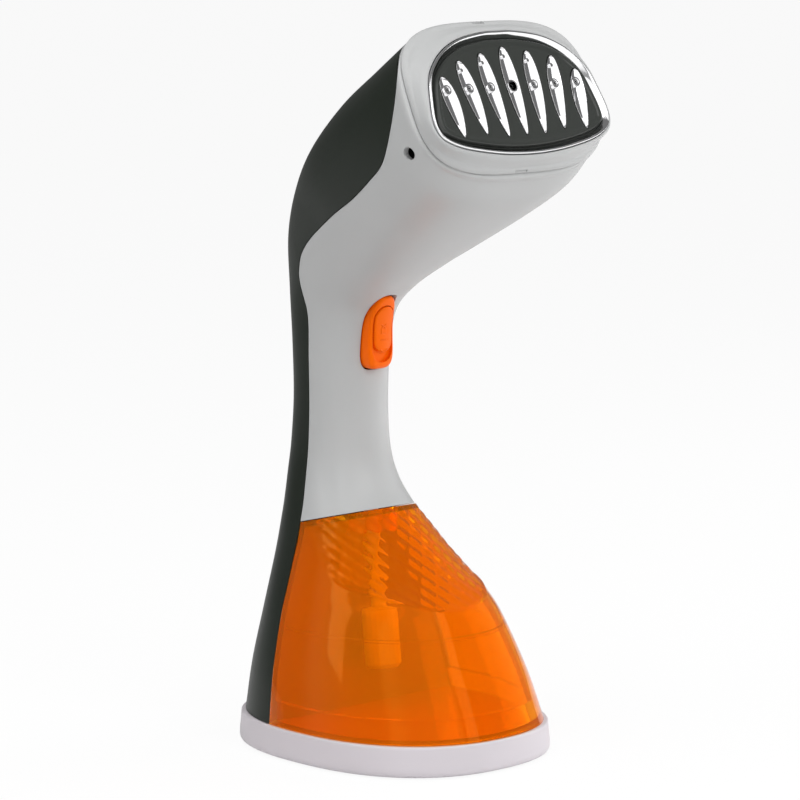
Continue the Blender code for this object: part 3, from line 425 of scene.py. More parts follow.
def tank_material():
    """Clear orange plastic, a little wavy; shadow and diffuse rays pass straight through it, tinted."""
    material, tree, shader = new_material("clear_orange_plastic")
    link = tree.links.new
    where = add(tree, "ShaderNodeTexCoord")
    cloud = add(tree, "ShaderNodeTexNoise", Scale=18.0, Detail=2.0)
    link(where.outputs["Object"], cloud.inputs["Vector"])
    bumped_normal(tree, shader, cloud.outputs["Fac"], 0.08, 0.0004, 0.0006)
    shader.inputs["Base Color"].default_value = (0.97, 0.31, 0.0, 1)
    shader.inputs["Roughness"].default_value = 0.05
    shader.inputs["IOR"].default_value = 1.45
    shader.inputs["Transmission Weight"].default_value = 0.82
    shader.inputs["Specular Tint"].default_value = (1.0, 0.5, 0.05, 1)
    rays = add(tree, "ShaderNodeLightPath")
    either = add(tree, "ShaderNodeMath", operation="MAXIMUM")
    link(rays.outputs["Is Shadow Ray"], either.inputs[0])
    link(rays.outputs["Is Diffuse Ray"], either.inputs[1])
    clear = add(tree, "ShaderNodeBsdfTransparent")
    clear.inputs["Color"].default_value = (0.95, 0.62, 0.25, 1)
    blend = add(tree, "ShaderNodeMixShader")
    link(either.outputs[0], blend.inputs[0])
    link(shader.outputs[0], blend.inputs[1])
    link(clear.outputs[0], blend.inputs[2])
    link(blend.outputs[0], tree.nodes["Material Output"].inputs["Surface"])
    return material


GREY = moulded("shell_grey_gloss", (0.42, 0.425, 0.425), rough=0.36, coat=0.1)
CHARCOAL = moulded("shell_charcoal_satin", (0.015, 0.019, 0.0145), rough=0.36, grain=0.08, specular=0.12)
PALE = moulded("base_pale_satin", (0.585, 0.548, 0.58), rough=0.4)
ORANGE = moulded("trigger_orange_satin", (0.90, 0.125, 0.0), rough=0.42, grain=0.1, shine=(1, 0.45, 0.1))
GLOSS_DARK = moulded("panel_dark_gloss", (0.034, 0.037, 0.034), rough=0.1, grain=0.01, specular=0.45)
BLACK = moulded("black_plastic_satin", (0.02, 0.02, 0.022), rough=0.42, grain=0.15)
WHITE = moulded("white_plastic_satin", (0.72, 0.72, 0.70), rough=0.4, grain=0.1)
RUBBER = moulded("rubber_matte", (0.018, 0.018, 0.018), rough=0.75, grain=0.3, specular=0.3)
SILICONE = moulded("silicone_milky", (0.72, 0.70, 0.66), rough=0.45, grain=0.08)
SEAL_RED = moulded("silicone_red", (0.50, 0.05, 0.03), rough=0.5, grain=0.1)
BOARD = moulded("board_green", (0.03, 0.15, 0.06), rough=0.35, variation=0.2)
WIRE_RED = moulded("wire_red", (0.5, 0.03, 0.02), rough=0.4)
WIRE_BLUE = moulded("wire_blue", (0.03, 0.08, 0.42), rough=0.4)
CHROME = metal("chrome_polished", (0.92, 0.92, 0.93), rough=0.04, grain=0.004)
STEEL = metal("steel_bright", (0.56, 0.56, 0.58), rough=0.28, grain=0.06)
CAST = metal("aluminium_cast", (0.60, 0.61, 0.63), rough=0.5, grain=0.25, scale=1500.0)
CLEAR = tank_material()
SLOT_LOOKS = {
    "shell_grey": GREY, "shell_charcoal": CHARCOAL, "base_pale_grey": PALE, "trigger_orange": ORANGE,
    "tank_clear_orange": CLEAR, "chrome": CHROME, "panel_dark_gloss": GLOSS_DARK, "cast_aluminium": CAST,
    "steel": STEEL, "silicone_translucent": SILICONE, "silicone_red": SEAL_RED, "black_plastic": BLACK,
    "white_plastic": WHITE, "rubber_black": RUBBER, "circuit_board": BOARD, "wire_red": WIRE_RED,
    "wire_blue": WIRE_BLUE,
}
NODE_LOOKS = {"pickup_filter": SILICONE}
for entry in frame["record"]["subparts"]:
    node = nodes[entry["node"]]
    look = NODE_LOOKS.get(entry["node"], SLOT_LOOKS[entry["material_slot"]])
    for material_slot in node.material_slots:
        material_slot.material = look
    node.data.polygons.foreach_set("use_smooth", [True] * len(node.data.polygons))
    node.data.set_sharp_from_angle(angle=math.radians(40))


# ---------------------------------------------------------------- outlines shared by several pieces
def seam_z(y):
    """Height of the line where the front housing meets the tank."""
    return SEAM_POINT[1] + SEAM_SLOPE * (y - SEAM_POINT[0])


def split_y(z):
    """Plane between the tank and the spine behind it."""
    return SPLIT_Y0 + SPLIT_LEAN * z


parting_curve = spline(PARTING, 8)
rear_edge = shifted(parting_curve, -GAP)
front_edge = shifted(parting_curve, GAP)
REAR_OUTLINE = (
    [(split_y(LOW_EDGE) + GAP, LOW_EDGE), (split_y(83) + GAP, 83.0)]
    + [tuple(p) for p in rear_edge[1:]]
    + [(-33, 300), (100, 300), (100, LOW_EDGE)]
)
FRONT_OUTLINE = (
    [(-120, seam_z(-120) + GAP), (front_edge[0][0] - GAP, seam_z(front_edge[0][0]) + GAP)]
    + [tuple(p) for p in front_edge[1:]]
    + [(-33, 300), (-120, 300)]
)


def tank_outline(inset, floor=None):
    """Side view (y, z) of the tank, or of its room when inset; `floor` is the inset at its bottom."""
    bottom = LOW_EDGE + (inset if floor is None else floor)
    corner = SEAM_POINT[1] - 0.7
    return [
        (-110, bottom), (split_y(bottom) - GAP - inset, bottom),
        (split_y(corner) - GAP - inset, seam_z(split_y(corner)) - GAP - inset * 1.03),
        (-110, seam_z(-110) - GAP - inset * 1.03),
    ]


# ---------------------------------------------------------------- base and tank
base = build("base_skin", loft([
    np.column_stack([oval(BASE_HALF_X - inset, BASE_HALF_Y - inset, BASE_N, 256), np.full(256, z)])
    for inset, z in [(0.75, BASE_BOTTOM), (0.35, -0.3), (-0.05, 0.0), (-0.3, 0.4), (-0.45, 0.9), (-0.52, 1.6),
                     (-0.5, 3.0), (-0.3, 5.0), (-0.1, 7.0), (0.02, 9.0), (0.1, BASE_TOP - 0.8),
                     (0.18, BASE_TOP - 0.45), (0.38, BASE_TOP - 0.15), (0.7, BASE_TOP)]
]))
cut(base, loft([
    np.column_stack([oval(BASE_HALF_X - inset, BASE_HALF_Y - inset, BASE_N, 96), np.full(96, z)])
    for inset, z in [(5.6, -3.0), (5.6, 2.2), (2.8, 2.3), (2.6, BASE_TOP - 2.2)]
]))
finish_piece(base, "stand", "base_shell", PALE)

SCALE_WIDTH, SCALE_HEIGHT, SCALE_RELIEF, SCALE_PEAK = 6.5, 9.6, 0.6, 0.3
SCALED_HALF, SCALED_TOP = 33.0, 92


def scale_shape(x, y, climb):
    """Height of the scales, 0 to 1, along a row of points that lies `climb` up the face."""
    across = np.concatenate([[0], np.cumsum(np.hypot(np.diff(x), np.diff(y)))])
    across -= across[len(x) // 2]
    first = (across / SCALE_WIDTH - climb / SCALE_HEIGHT) % 1.0
    second = (-across / SCALE_WIDTH - climb / SCALE_HEIGHT) % 1.0
    ridge = np.minimum(second / SCALE_PEAK, (1 - second) / (1 - SCALE_PEAK))
    return ridge * np.sqrt(np.sin(math.pi * first))


def scale_fade(x, y, z, tank_rows):
    """1 on the tank's face, down to 0 where the smooth wall begins and above the highest scales."""
    heights = tank_rows[:, 1]
    front_y, back_y, half_width, power = [np.interp(z, heights, tank_rows[:, k]) for k in (0, 2, 4, 5)]
    inside = (np.abs(x) / half_width) ** power
    inside += (np.abs(y - (front_y + back_y) / 2) / ((back_y - front_y) / 2)) ** power
    return np.clip((0.985 - inside) / 0.05, 0, 1) * np.clip((SCALED_TOP - z) / 4, 0, 1)


def scaled_scoop():
    """The scoop's solid, with the diamond scales raised on its front where it forms the tank's face."""
    rows = spline(SCOOP_SECTIONS, 18)
    tank_rows = spline(TANK_SECTIONS, 14)
    front_x = np.arange(-SCALED_HALF, SCALED_HALF + 0.01, 0.55)
    rings = []
    climb = 0.0
    for i, row in enumerate(rows):
        middle, half = (row[0] + row[2]) / 2, (row[2] - row[0]) / 2
        limit = row[4] * 0.97
        x = front_x * min(1.0, limit / SCALED_HALF)
        y = middle - half * (1 - (np.abs(x) / row[4]) ** row[5]) ** (1 / row[5])
        if i:
            climb += math.hypot(row[0] - rows[i - 1][0], row[1] - rows[i - 1][1])
        normal = np.column_stack([np.gradient(y, x), -np.ones(len(x))])
        normal /= np.linalg.norm(normal, axis=1)[:, None]
        raised = SCALE_RELIEF * scale_shape(x, y, climb) * scale_fade(x, y, row[1], tank_rows)
        height = np.full(len(x), row[1])
        points = np.column_stack([x + normal[:, 0] * raised, y + normal[:, 1] * raised, height])
        turn = np.linspace(math.asin(min(1.0, (abs(x[-1]) / row[4]) ** (row[5] / 2))), math.pi, 40)[1:]
        wide = row[4] * np.sin(turn) ** (2 / row[5])
        deep = middle - half * np.sign(np.cos(turn)) * np.abs(np.cos(turn)) ** (2 / row[5])
        right = np.column_stack([wide, deep, np.full(len(turn), row[1])])
        rings.append(np.vstack([points, right, right[-2::-1] * np.array([-1, 1, 1])]))
    return loft(rings)


neck_centre = (0, NECK_Y, NECK_Z)
tank = build("tank_skin", loft(skin(TANK_SECTIONS, 0, 14, 240)))
cut(tank, scaled_scoop(), "INTERSECT")
cut(tank, side_prism(tank_outline(0)), "INTERSECT")
room = build("tank_room", loft(skin(TANK_SECTIONS, TANK_WALL, 10, 160)))
cut(room, loft(skin(SCOOP_SECTIONS, TANK_WALL, 10, 160)), "INTERSECT")
cut(room, side_prism(tank_outline(TANK_WALL, TANK_FLOOR)), "INTERSECT")
high_room = build("high_room", box((-60, -70, SKIRT_TOP), (60, 70, 120)))
cut(high_room, loft(skin(TANK_SECTIONS[:2], SKIRT_WALL, 4, 160)), "UNION")
boolean(room, high_room, "INTERSECT")
seam_groove = build("seam_groove", loft(skin(TANK_SECTIONS[1:3], TANK_WALL - 0.6, 20, 160)[16:18]))
cut(seam_groove, side_prism(tank_outline(TANK_WALL)), "INTERSECT")
boolean(room, seam_groove, "UNION")
cut(room, cylinder(NECK_R + 1.6, -8.5, 8, neck_centre, LIFT))
boolean(tank, room)
cut(tank, cylinder(NECK_R, -20, 8, neck_centre, LIFT))
finish_piece(tank, "stand", "water_tank", CLEAR)

# ---------------------------------------------------------------- housing halves
grip_and_scoop = SCOOP_SECTIONS[3:] + GRIP_SECTIONS
inner_end = [(-69.7, 221.0, -46.1, 274.1, 46.2, 3.0), (-75.2, 223.4, -51.6, 276.6, 46.2, 3.0)]
rim_steps = spline([GRIP_SECTIONS[-1]] + RIM_FRONT, 3)[1:]
rim_rings = [section_ring(row, 0, 240) for row in rim_steps]
front = build("front_skin", loft(skin(grip_and_scoop, 0, 12, 240) + rim_rings))
cut(front, side_prism(FRONT_OUTLINE), "INTERSECT")
inner_rings = [section_ring(row, WALL, 120) for row in inner_end]
cut(front, loft(skin(grip_and_scoop, WALL, 6, 120) + inner_rings))
for sign in (-1, 1):
    cut(front, cylinder(FLANK_HOLE, 42, 60, FLANK_HOLE_AT, (sign, 0, 0), 40))

rear_sections = SPINE_SECTIONS + GRIP_SECTIONS
rear = build("rear_skin", loft(skin(rear_sections, 0, 12, 240)))
cut(rear, side_prism(REAR_OUTLINE), "INTERSECT")
low_room = [(-59.8, 2, 59.8, 2, 49.8, 2.25)]
cut(rear, loft(skin(low_room + rear_sections, WALL, 6, 120) + inner_rings))
cut(rear, cylinder(GLAND_HOLE, -12, 10, GLAND_AT, GLAND_AXIS))


def button_outline(grow, count=96):
    return [(x, BUTTON_Z + z) for x, z in oval(BUTTON_HALF_X + grow, BUTTON_HALF_Z + grow, 4.0, count)]


cut(rear, front_prism(button_outline(0.35), 44, 62))
button = build("release_button_skin", loft([
    np.array([(x, y, z) for x, z in button_outline(grow)])
    for y, grow in ((46.6, 0.0), (53.2, 0.0), (53.6, -0.1), (53.95, -0.35), (54.15, -0.7), (54.3, -1.2))
]))
for step in (-2.4, 0.0, 2.4):
    cut(button, box((-5.5, 53.9, BUTTON_Z + step - 0.45), (5.5, 56, BUTTON_Z + step + 0.45)))
finish_piece(button, "release_button", "release_button", ORANGE)

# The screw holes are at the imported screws; x and height tell which way the back's surface faces there.
SCREWS = {"upper_left": (-9, 212), "upper_right": (9, 212), "grip": (0, 118), "spine": (0, 44)}
SCREW_HOLE, SIDE_LEAN = 3.2, 0.030
path = spline(rear_sections, 6)
for place, (x, height) in SCREWS.items():
    low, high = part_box("screw_" + place)
    middle = np.array((low + high) / 2) / MM - SHIFT
    nearest = int(np.argmin(np.abs(path[:, 3] - height)))
    ahead = min(nearest + 3, len(path) - 1)
    rise = path[ahead] - path[nearest]
    outward = np.array([0.0, rise[3], -rise[2]])
    outward /= np.linalg.norm(outward)
    outward[0] = x * SIDE_LEAN
    outward /= np.linalg.norm(outward)
    cut(rear, cylinder(SCREW_HOLE, -6, 8, middle, outward))
finish_piece(rear, "handle", "rear_cover", CHARCOAL)

# ---------------------------------------------------------------- head: bezel, trim, panel and channels
trim = closed_outline(TRIM_HALF, OUTLINE_POINTS)
rim_outline = oval(46.0, 29.3, 3.3, OUTLINE_POINTS, -1.5)


def blended(share, grow):
    """Outline between the head's rim (share 1) and the trim's (share 0)."""
    return rim_outline * share + inset_outline(trim, grow) * (1 - share)


def trim_rings(profile):
    """Rings along the trim's outline for a cross-section of (inset, depth) points."""
    return [on_panel(inset_outline(trim, inset), depth) for inset, depth in profile]


# The bezel's cross-section: a dish from the rim inward (share, depth), then a lip at the trim
# (inset, depth), and a sleeve behind both. The dish runs toward an outline a little outside the trim's.
DISH_INSET = -1.6
DISH = (
    (0.97, 5.3), (0.88, 4.6), (0.78, 4.1), (0.70, 3.9), (0.62, 3.75), (0.54, 3.4), (0.42, 2.5), (0.26, 1.2),
)
LIP = ((-1.3, -0.4), (-0.85, -0.7), (-0.4, -0.7), (-0.3, -0.55), (-0.3, 4.4), (2.4, 4.4), (2.4, 6.6))
sleeve_inside = oval(42.2, 24.8, 3.0, OUTLINE_POINTS, -2.2)
sleeve_outside = oval(43.6, 26.2, 3.0, OUTLINE_POINTS, -2.2)
bezel_rings = [on_panel(rim_outline * 0.995, 6.1), on_panel(rim_outline, 5.8)]
bezel_rings += [on_panel(blended(share, DISH_INSET), depth) for share, depth in DISH]
bezel_rings += [on_panel(blended(0.12, -1.55), 0.2)]
bezel_rings += trim_rings(LIP)
bezel_rings += [on_panel(sleeve_inside, 11.0), on_panel(sleeve_outside, 11.0), on_panel(sleeve_outside, 6.1)]
bezel = build("bezel_skin", hoop(bezel_rings))
for q in (27.2, -31.0):
    middle = on_panel([(0, q)], 4.4)[0]
    cut(bezel, box(middle - (6, 0.9, 0.8), middle + (0, 0.9, 0.8)))
finish_piece(bezel, "handle", "head_bezel", GREY, 30)

# The ring's inner side slopes in over the moat round the panel, so its far side shows as a bright band.
RING_PROFILE = (
    (0.0, 4.1), (0.0, 0.1 - PANEL_PROUD), (0.08, -0.2 - PANEL_PROUD), (0.25, -0.43 - PANEL_PROUD),
    (0.5, -0.5 - PANEL_PROUD), (0.75, -0.4 - PANEL_PROUD), (1.1, 0.2 - PANEL_PROUD),
    (2.2, 1.4 - PANEL_PROUD), (2.2, 1.7 - PANEL_PROUD), (TRIM_WIDTH, 1.7 - PANEL_PROUD), (TRIM_WIDTH, 4.1),
)
ring = build("trim_skin", hoop(trim_rings(RING_PROFILE)))
finish_piece(ring, "handle", "chrome_trim_ring", CHROME)


def channel_axis(hole, top, bottom, steps):
    """Middle line (x, q) and half width of a channel, from its top through its hole to its bottom."""
    t = (1 - np.cos(np.linspace(0.0, 1.0, steps + 1) * math.pi)) / 2
    length = top[1] - bottom[1]
    middle = (top[1] - hole[1]) / length
    fit = top[0] - (top[0] - bottom[0]) * t
    bow = hole[0] - np.interp(middle, t, fit)
    x = fit + bow * np.sin(math.pi * t)
    q = top[1] - length * t
    wide = CHANNEL_HALF_WIDTH * np.sin(math.pi * t**0.8) ** 0.62 * (1 - 0.25 * t)
    return x, q, np.maximum(wide, 0.0)


def channel_outline(channel, side, grow=0.0, steps=40):
    hole, top, bottom = [(side * x, q) for x, q in channel]
    x, q, wide = channel_axis(hole, top, bottom, steps)
    q = q + grow * np.linspace(1, -1, steps + 1)
    wide = wide + grow * (wide > 0)
    right = np.column_stack([x + wide, q])
    left = np.column_stack([x - wide, q])[-2:0:-1]
    return np.vstack([right, left])


def channel_body(channel, side, steps=48, across=28):
    """A boat-shaped groove: two flat flanks that meet in a sharp valley."""
    hole, top, bottom = [(side * x, q) for x, q in channel]
    x, q, wide = channel_axis(hole, top, bottom, steps)
    sink = VALLEY_DEPTH * np.sin(math.pi * np.linspace(0, 1, steps + 1) ** 0.9) ** 0.6
    offsets = np.unique(np.concatenate([np.linspace(-1, 1, across + 1), [VALLEY_AT]]))
    share = np.where(offsets < VALLEY_AT, (1 + offsets) / (1 + VALLEY_AT), (1 - offsets) / (1 - VALLEY_AT))
    share = np.clip(share - 0.06, 0, 1) / 0.94
    rings = []
    for i in range(1, steps):
        outline = [(x[i] + wide[i] * o, q[i]) for o in offsets]
        top_line = on_panel(outline, 0.1 - PANEL_PROUD + share * sink[i])
        rings.append(np.vstack([top_line, on_panel(outline[::-1], 4.3)]))
    return loft(rings)


PANEL_PROFILE = (
    (TRIM_WIDTH + 0.3, 3.4), (TRIM_WIDTH + 0.3, 2.0 - PANEL_PROUD), (TRIM_WIDTH + 1.5, 2.0 - PANEL_PROUD),
    (TRIM_WIDTH + 1.7, 0.5 - PANEL_PROUD), (TRIM_WIDTH + 1.9, 0.2 - PANEL_PROUD),
    (TRIM_WIDTH + 2.2, 0.05 - PANEL_PROUD), (TRIM_WIDTH + 2.6, -PANEL_PROUD),
    (TRIM_WIDTH + 3.3, -PANEL_PROUD), (TRIM_WIDTH + 3.6, 0.12 - PANEL_PROUD),
    (TRIM_WIDTH + 3.9, 0.3 - PANEL_PROUD), (6.2, 0.3 - PANEL_PROUD), (6.2, 3.4),
)
panel = build("panel_skin", hoop(trim_rings(PANEL_PROFILE)))
middle_plate = build("panel_middle", panel_plate(inset_outline(trim, 6.0), 0.3 - PANEL_PROUD, 3.4))
boolean(panel, middle_plate, "UNION")
# Which channel and which side, from left to right.
LEFT_TO_RIGHT = ((3, -1), (2, -1), (1, -1), (0, 1), (1, 1), (2, 1), (3, 1))
for number, (place, side) in enumerate(LEFT_TO_RIGHT, 1):
    channel = CHANNELS[place]
    x, q = channel[0][0] * side, channel[0][1]
    cut(panel, panel_plate(channel_outline(channel, side, 0.3), -2, 6))
    leaf = build("channel_skin_" + str(number), channel_body(channel, side))
    pin_q = channel[1][1] - 3.6
    pin_x = side * float(np.interp(pin_q, (q, channel[1][1]), (channel[0][0], channel[1][0]))) - 0.5
    if place < 3:
        cut(leaf, panel_cylinder(0.85, -PANEL_PROUD, 4.0, pin_x, pin_q, 24, 0.25), "UNION")
    if place == 0:
        cut(leaf, panel_cylinder(2.4, 0.3 - PANEL_PROUD, 4.0, x, q, 48, 0.3), "UNION")
        cut(leaf, panel_cylinder(1.9, -2, 6, x, q, 40))
    else:
        cut(leaf, panel_cylinder(1.95, 0.2 - PANEL_PROUD, 4.0, x, q, 48, 0.3), "UNION")
        cut(leaf, panel_cylinder(1.25, -2, 0.5 - PANEL_PROUD, x, q, 40))
        cut(leaf, panel_cylinder(0.45, -2, 6, x, q, 24))
    finish_piece(leaf, "handle", "steam_channel_" + str(number), CHROME, 14)
finish_piece(panel, "handle", "steam_panel", GLOSS_DARK)


# ---------------------------------------------------------------- trigger and lock slider
def trigger_half_width(z):
    at = (z - (TRIGGER_TOP + TRIGGER_BOTTOM) / 2) / ((TRIGGER_TOP - TRIGGER_BOTTOM) / 2)
    power = 4.2 if at < 0 else 3.0
    return (TRIGGER_HALF - 0.3 * (at + 1)) * max(0.0, 1 - abs(at) ** power) ** (1 / power)


face_line = spline(TRIGGER_FACE, 6)


def trigger_face_y(z):
    return float(np.interp(z, face_line[:, 0], face_line[:, 1]))


def trigger_outline(inset, count=48):
    span = (TRIGGER_TOP - TRIGGER_BOTTOM) / 2
    middle = (TRIGGER_TOP + TRIGGER_BOTTOM) / 2
    right = []
    for angle in (np.arange(count) + 0.5) * math.pi / count:
        z = middle + span * math.cos(angle)
        x = max(0.04, trigger_half_width(z) - inset * 0.9)
        right.append((x, middle + (z - middle) * (1 - inset / span)))
    return right + [(-x, z) for x, z in right[::-1]]


def stadium(half, low, high, inset=0.0, arc=12):
    """Upright outline with half-round ends."""
    half, low, high = half - inset, low + inset, high - inset
    ends = (np.arange(arc) + 0.5) * math.pi / 2 / arc
    right = [(half * math.sin(a), high - half + half * math.cos(a)) for a in ends]
    right += [(half, z) for z in np.linspace(high - half, low + half, 12)]
    right += [(half * math.sin(a), low + half - half * math.cos(a)) for a in ends[::-1]]
    return right + [(-x, z) for x, z in right[::-1]]


def faced_body(outlines, depths, back):
    """Solid from a flat back to the trigger's curved face, with the outlines as steps of its edge."""
    layers = [[(x, back, z) for x, z in outlines[0]]]
    for outline, depth in zip(outlines, depths):
        layers.append([(x, trigger_face_y(z) + depth, z) for x, z in outline])
    points, faces = loft([np.array(layer) for layer in layers])
    count = len(layers[0])
    faces = faces[2:]
    for first in (0, (len(layers) - 1) * count):
        for i in range(count // 2 - 1):
            faces.append((first + i, first + i + 1, first + count - 2 - i, first + count - 1 - i))
    return points, faces


trigger_steps = [trigger_outline(inset) for inset in (0.0, 0.1, 0.35, 0.75, 1.2, 1.8)]
trigger = build("trigger_skin", faced_body(trigger_steps, (1.9, 1.3, 0.75, 0.35, 0.12, 0.0), TRIGGER_BACK))
cut(trigger, front_prism(stadium(RECESS_HALF, RECESS_LOW, RECESS_HIGH), -8, 7.5))
cut(trigger, cylinder(PIN_HOLE, -12, 12, (0, *TRIGGER_PIN), (1, 0, 0)))
finish_piece(trigger, "trigger", "trigger", ORANGE)
cut(front, front_prism([(x + math.copysign(0.1, x), z) for x, z in trigger_outline(-0.45)], -20, 19))
finish_piece(front, "handle", "front_housing", GREY)
slider_high = RECESS_HIGH - 0.3
slider_low = slider_high - SLIDER_LENGTH
slider_steps = [stadium(SLIDER_HALF, slider_low, slider_high, inset) for inset in (0.0, 0.06, 0.2, 0.4)]
slider = build("slider_skin", faced_body(slider_steps, (0.0, -0.3, -0.5, -0.6), 7.2))


def raised_mark(outline):
    """Flat shape (x, z) that stands a little proud of the slider's face."""
    face = trigger_face_y(float(np.mean([z for x, z in outline]))) - 0.6
    cut(slider, front_prism(outline, face - MARK_RELIEF, face + 0.6), "UNION")


def arc_band(z, radius, start, end, width):
    """Curved bar round (0, z) between two angles in degrees, counted from straight up."""
    angles = np.radians(np.linspace(start, end, 25))
    outer = [(radius * math.sin(a), z + radius * math.cos(a)) for a in angles]
    inner = [((radius - width) * math.sin(a), z + (radius - width) * math.cos(a)) for a in angles[::-1]]
    return outer + inner


slider_middle = (slider_high + slider_low) / 2
# Two arcs, a plain padlock and a bar: generic marks.
raised_mark(arc_band(slider_middle + 3.0, 1.9, 130, 230, 0.35))
raised_mark(arc_band(slider_middle - 6.0, 2.6, 130, 230, 0.35))
raised_mark([(x * 1.25, slider_middle + z) for x, z in ((-1, -1.7), (-1, 0.2), (1, 0.2), (1, -1.7))])
raised_mark(arc_band(slider_middle + 0.2, 1.0, -90, 90, 0.4))
raised_mark([(x * 1.4, slider_middle - 4.0 + z) for x, z in ((-1, -0.17), (-1, 0.17), (1, 0.17), (1, -0.17))])
finish_piece(slider, "lock_slider", "trigger_lock_slider", ORANGE)

# ---------------------------------------------------------------- springs of the trigger and the release button
def spring(name, start_y, end_y, z, radius, turns):
    """Steel coil on the handle, with a mesh of its own."""
    piece = build(name + "_wire", coil(start_y, end_y, z, radius, SPRING_WIRE, turns))
    finish_piece(piece, "handle", name, STEEL)
    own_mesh(piece)


spring("trigger_spring", 16.3, 25.5, 148.2, 2.3, 5)
spring("release_spring", 46.3, 49.5, BUTTON_Z, 2.2, 3)

# ---------------------------------------------------------------- floor, light, camera
def floor_material():
    """Pale matt floor that glows to the camera and through the tank, so that it blends with the world."""
    material, tree, shader = new_material("floor_pale")
    link = tree.links.new
    noise = add(tree, "ShaderNodeTexNoise", Scale=3.0)
    tone = add(tree, "ShaderNodeMix", data_type="RGBA")
    tone.inputs[6].default_value = (0.86, 0.86, 0.86, 1)
    tone.inputs[7].default_value = (0.88, 0.88, 0.88, 1)
    link(noise.outputs["Fac"], tone.inputs[0])
    link(tone.outputs[2], shader.inputs["Base Color"])
    shader.inputs["Roughness"].default_value = 0.8
    rays = add(tree, "ShaderNodeLightPath")
    seen = add(tree, "ShaderNodeMath", operation="MAXIMUM")
    link(rays.outputs["Is Camera Ray"], seen.inputs[0])
    link(rays.outputs["Is Transmission Ray"], seen.inputs[1])
    share = add(tree, "ShaderNodeMath", operation="MULTIPLY")
    share.inputs[1].default_value = 0.92
    link(seen.outputs[0], share.inputs[0])
    glow = add(tree, "ShaderNodeEmission")
    blend = add(tree, "ShaderNodeMixShader")
    link(share.outputs[0], blend.inputs[0])
    link(shader.outputs[0], blend.inputs[1])
    link(glow.outputs[0], blend.inputs[2])
    link(blend.outputs[0], tree.nodes["Material Output"].inputs["Surface"])
    return material


bpy.ops.mesh.primitive_plane_add(size=60, location=(0, 0, 0))
floor = bpy.context.object
floor.name = "floor"
floor.data.materials.append(floor_material())

# White to the eye, nearly white through the clear tank, and dim in reflections apart from two soft fields.
world = bpy.data.worlds.new("studio")
scene.world = world
world.use_nodes = True
tree = world.node_tree
sky = tree.nodes["Background"]
rays = add(tree, "ShaderNodeLightPath")
way = add(tree, "ShaderNodeTexCoord")


def soft_field(direction, wide, edge, low, high):
    """Strength that rises from low to high within `wide` of a direction (cosines)."""
    aligned = add(tree, "ShaderNodeVectorMath", operation="DOT_PRODUCT")
    aligned.inputs[1].default_value = Vector(direction).normalized()
    tree.links.new(way.outputs["Generated"], aligned.inputs[0])
    ramp = add(tree, "ShaderNodeMapRange", interpolation_type="SMOOTHSTEP")
    ramp.inputs["From Min"].default_value = wide - edge
    ramp.inputs["From Max"].default_value = wide
    ramp.inputs["To Min"].default_value = low
    ramp.inputs["To Max"].default_value = high
    tree.links.new(aligned.outputs["Value"], ramp.inputs["Value"])
    return ramp.outputs["Result"]


mirror_front = soft_field((-0.42, -0.72, 0.50), 0.84, 0.05, 0.09, 1.2)
mirror_left = soft_field((-0.95, 0.05, 0.25), 0.85, 0.15, 0.08, 0.8)
mirror_sum = add(tree, "ShaderNodeMath", operation="ADD")
tree.links.new(mirror_front, mirror_sum.inputs[0])
tree.links.new(mirror_left, mirror_sum.inputs[1])
mirror_field = mirror_sum.outputs[0]
through_field = soft_field((-0.1, 0.6, -0.6), 0.9, 1.2, 0.75, 1.0)
DIFFUSE_LEVEL = 0.36
strength = None
levels = {"Is Glossy Ray": mirror_field, "Is Transmission Ray": through_field, "Is Camera Ray": 1.0}
for output, level in levels.items():
    mixed = add(tree, "ShaderNodeMix", data_type="FLOAT")
    tree.links.new(rays.outputs[output], mixed.inputs[0])
    if strength:
        tree.links.new(strength, mixed.inputs[2])
    else:
        mixed.inputs[2].default_value = DIFFUSE_LEVEL
    if isinstance(level, float):
        mixed.inputs[3].default_value = level
    else:
        tree.links.new(level, mixed.inputs[3])
    strength = mixed.outputs[0]
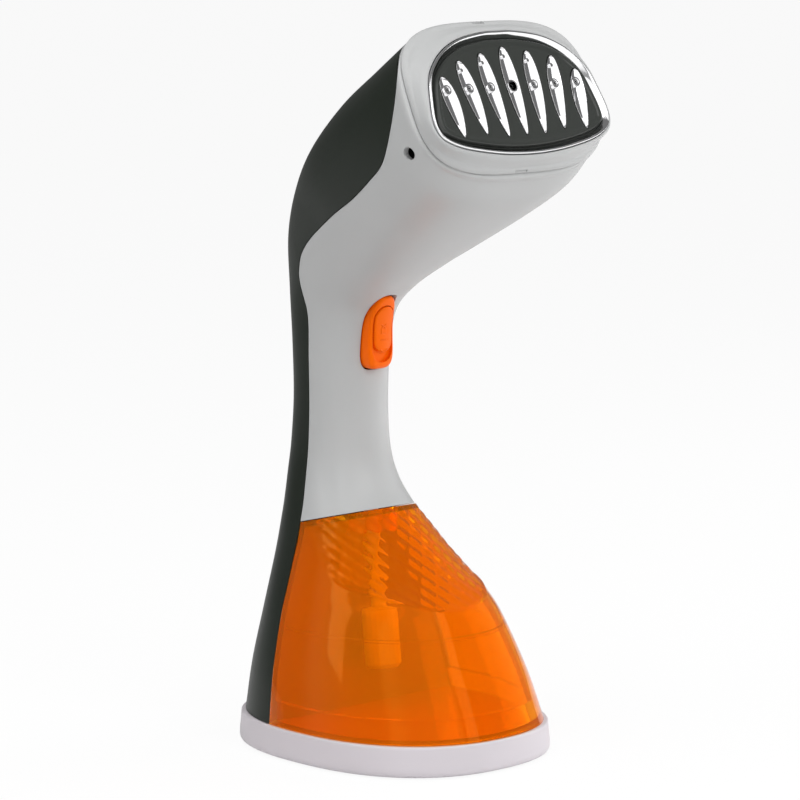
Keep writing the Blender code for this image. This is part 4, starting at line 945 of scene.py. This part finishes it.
tree.links.new(strength, sky.inputs["Strength"])
sky.inputs["Color"].default_value = (1, 1, 1, 1)
scene.view_settings.view_transform = "Standard"


def area_light(name, place, aim, width, height, power):
    data = bpy.data.lights.new(name, "AREA")
    data.shape = "RECTANGLE"
    data.size = width
    data.size_y = height
    data.energy = power
    light = bpy.data.objects.new(name, data)
    scene.collection.objects.link(light)
    light.location = place
    light.rotation_mode = "QUATERNION"
    light.rotation_quaternion = (Vector(aim) - Vector(place)).to_track_quat("-Z", "Y")
    return light


# Large lamps that light the object but don't show in its gloss, then two strips that do.
SOFT_LAMPS = (
    ("side_right", (1.05, -0.35, 0.40), (0, 0, 0.14), 0.8, 0.9, 8.8),
    ("front", (-0.12, -1.06, 0.90), (0, -0.05, 0.2), 0.55, 0.75, 5.6),
    ("top_left", (-0.45, -0.1, 1.15), (0, 0, 0.2), 0.9, 0.9, 8.0),
    ("fill_low_left", (-1.1, -0.75, 0.2), (0, 0, 0.08), 0.8, 0.8, 0.6),
)
for lamp in SOFT_LAMPS:
    area_light(*lamp).visible_glossy = False
area_light("strip_tank", (0.34, -1.05, 0.80), (0, 0, 0.05), 0.26, 1.0, 1.3)
area_light("strip_left", (-1.05, 0.45, 0.75), (0, 0, 0.05), 0.3, 0.7, 1.2)

# The camera looks at the object's middle from its front left, a little from above, with a long lens.
camera_data = bpy.data.cameras.new("camera")
camera = bpy.data.objects.new("camera", camera_data)
scene.collection.objects.link(camera)
scene.camera = camera
azimuth, elevation, distance = math.radians(-43), math.radians(8.4), 1.5
target = Vector((np.array([0.0, -3.4, 131.5]) + SHIFT) * MM)
level_back = Vector((math.sin(azimuth), -math.cos(azimuth), 0.0))
back = level_back * math.cos(elevation) + Vector((0, 0, math.sin(elevation)))
camera.location = target + back * distance
camera.rotation_mode = "QUATERNION"
camera.rotation_quaternion = (-back).to_track_quat("-Z", "Y")
camera_data.sensor_width = 36
camera_data.lens = 179.55
camera_data.clip_start, camera_data.clip_end = 0.05, 50
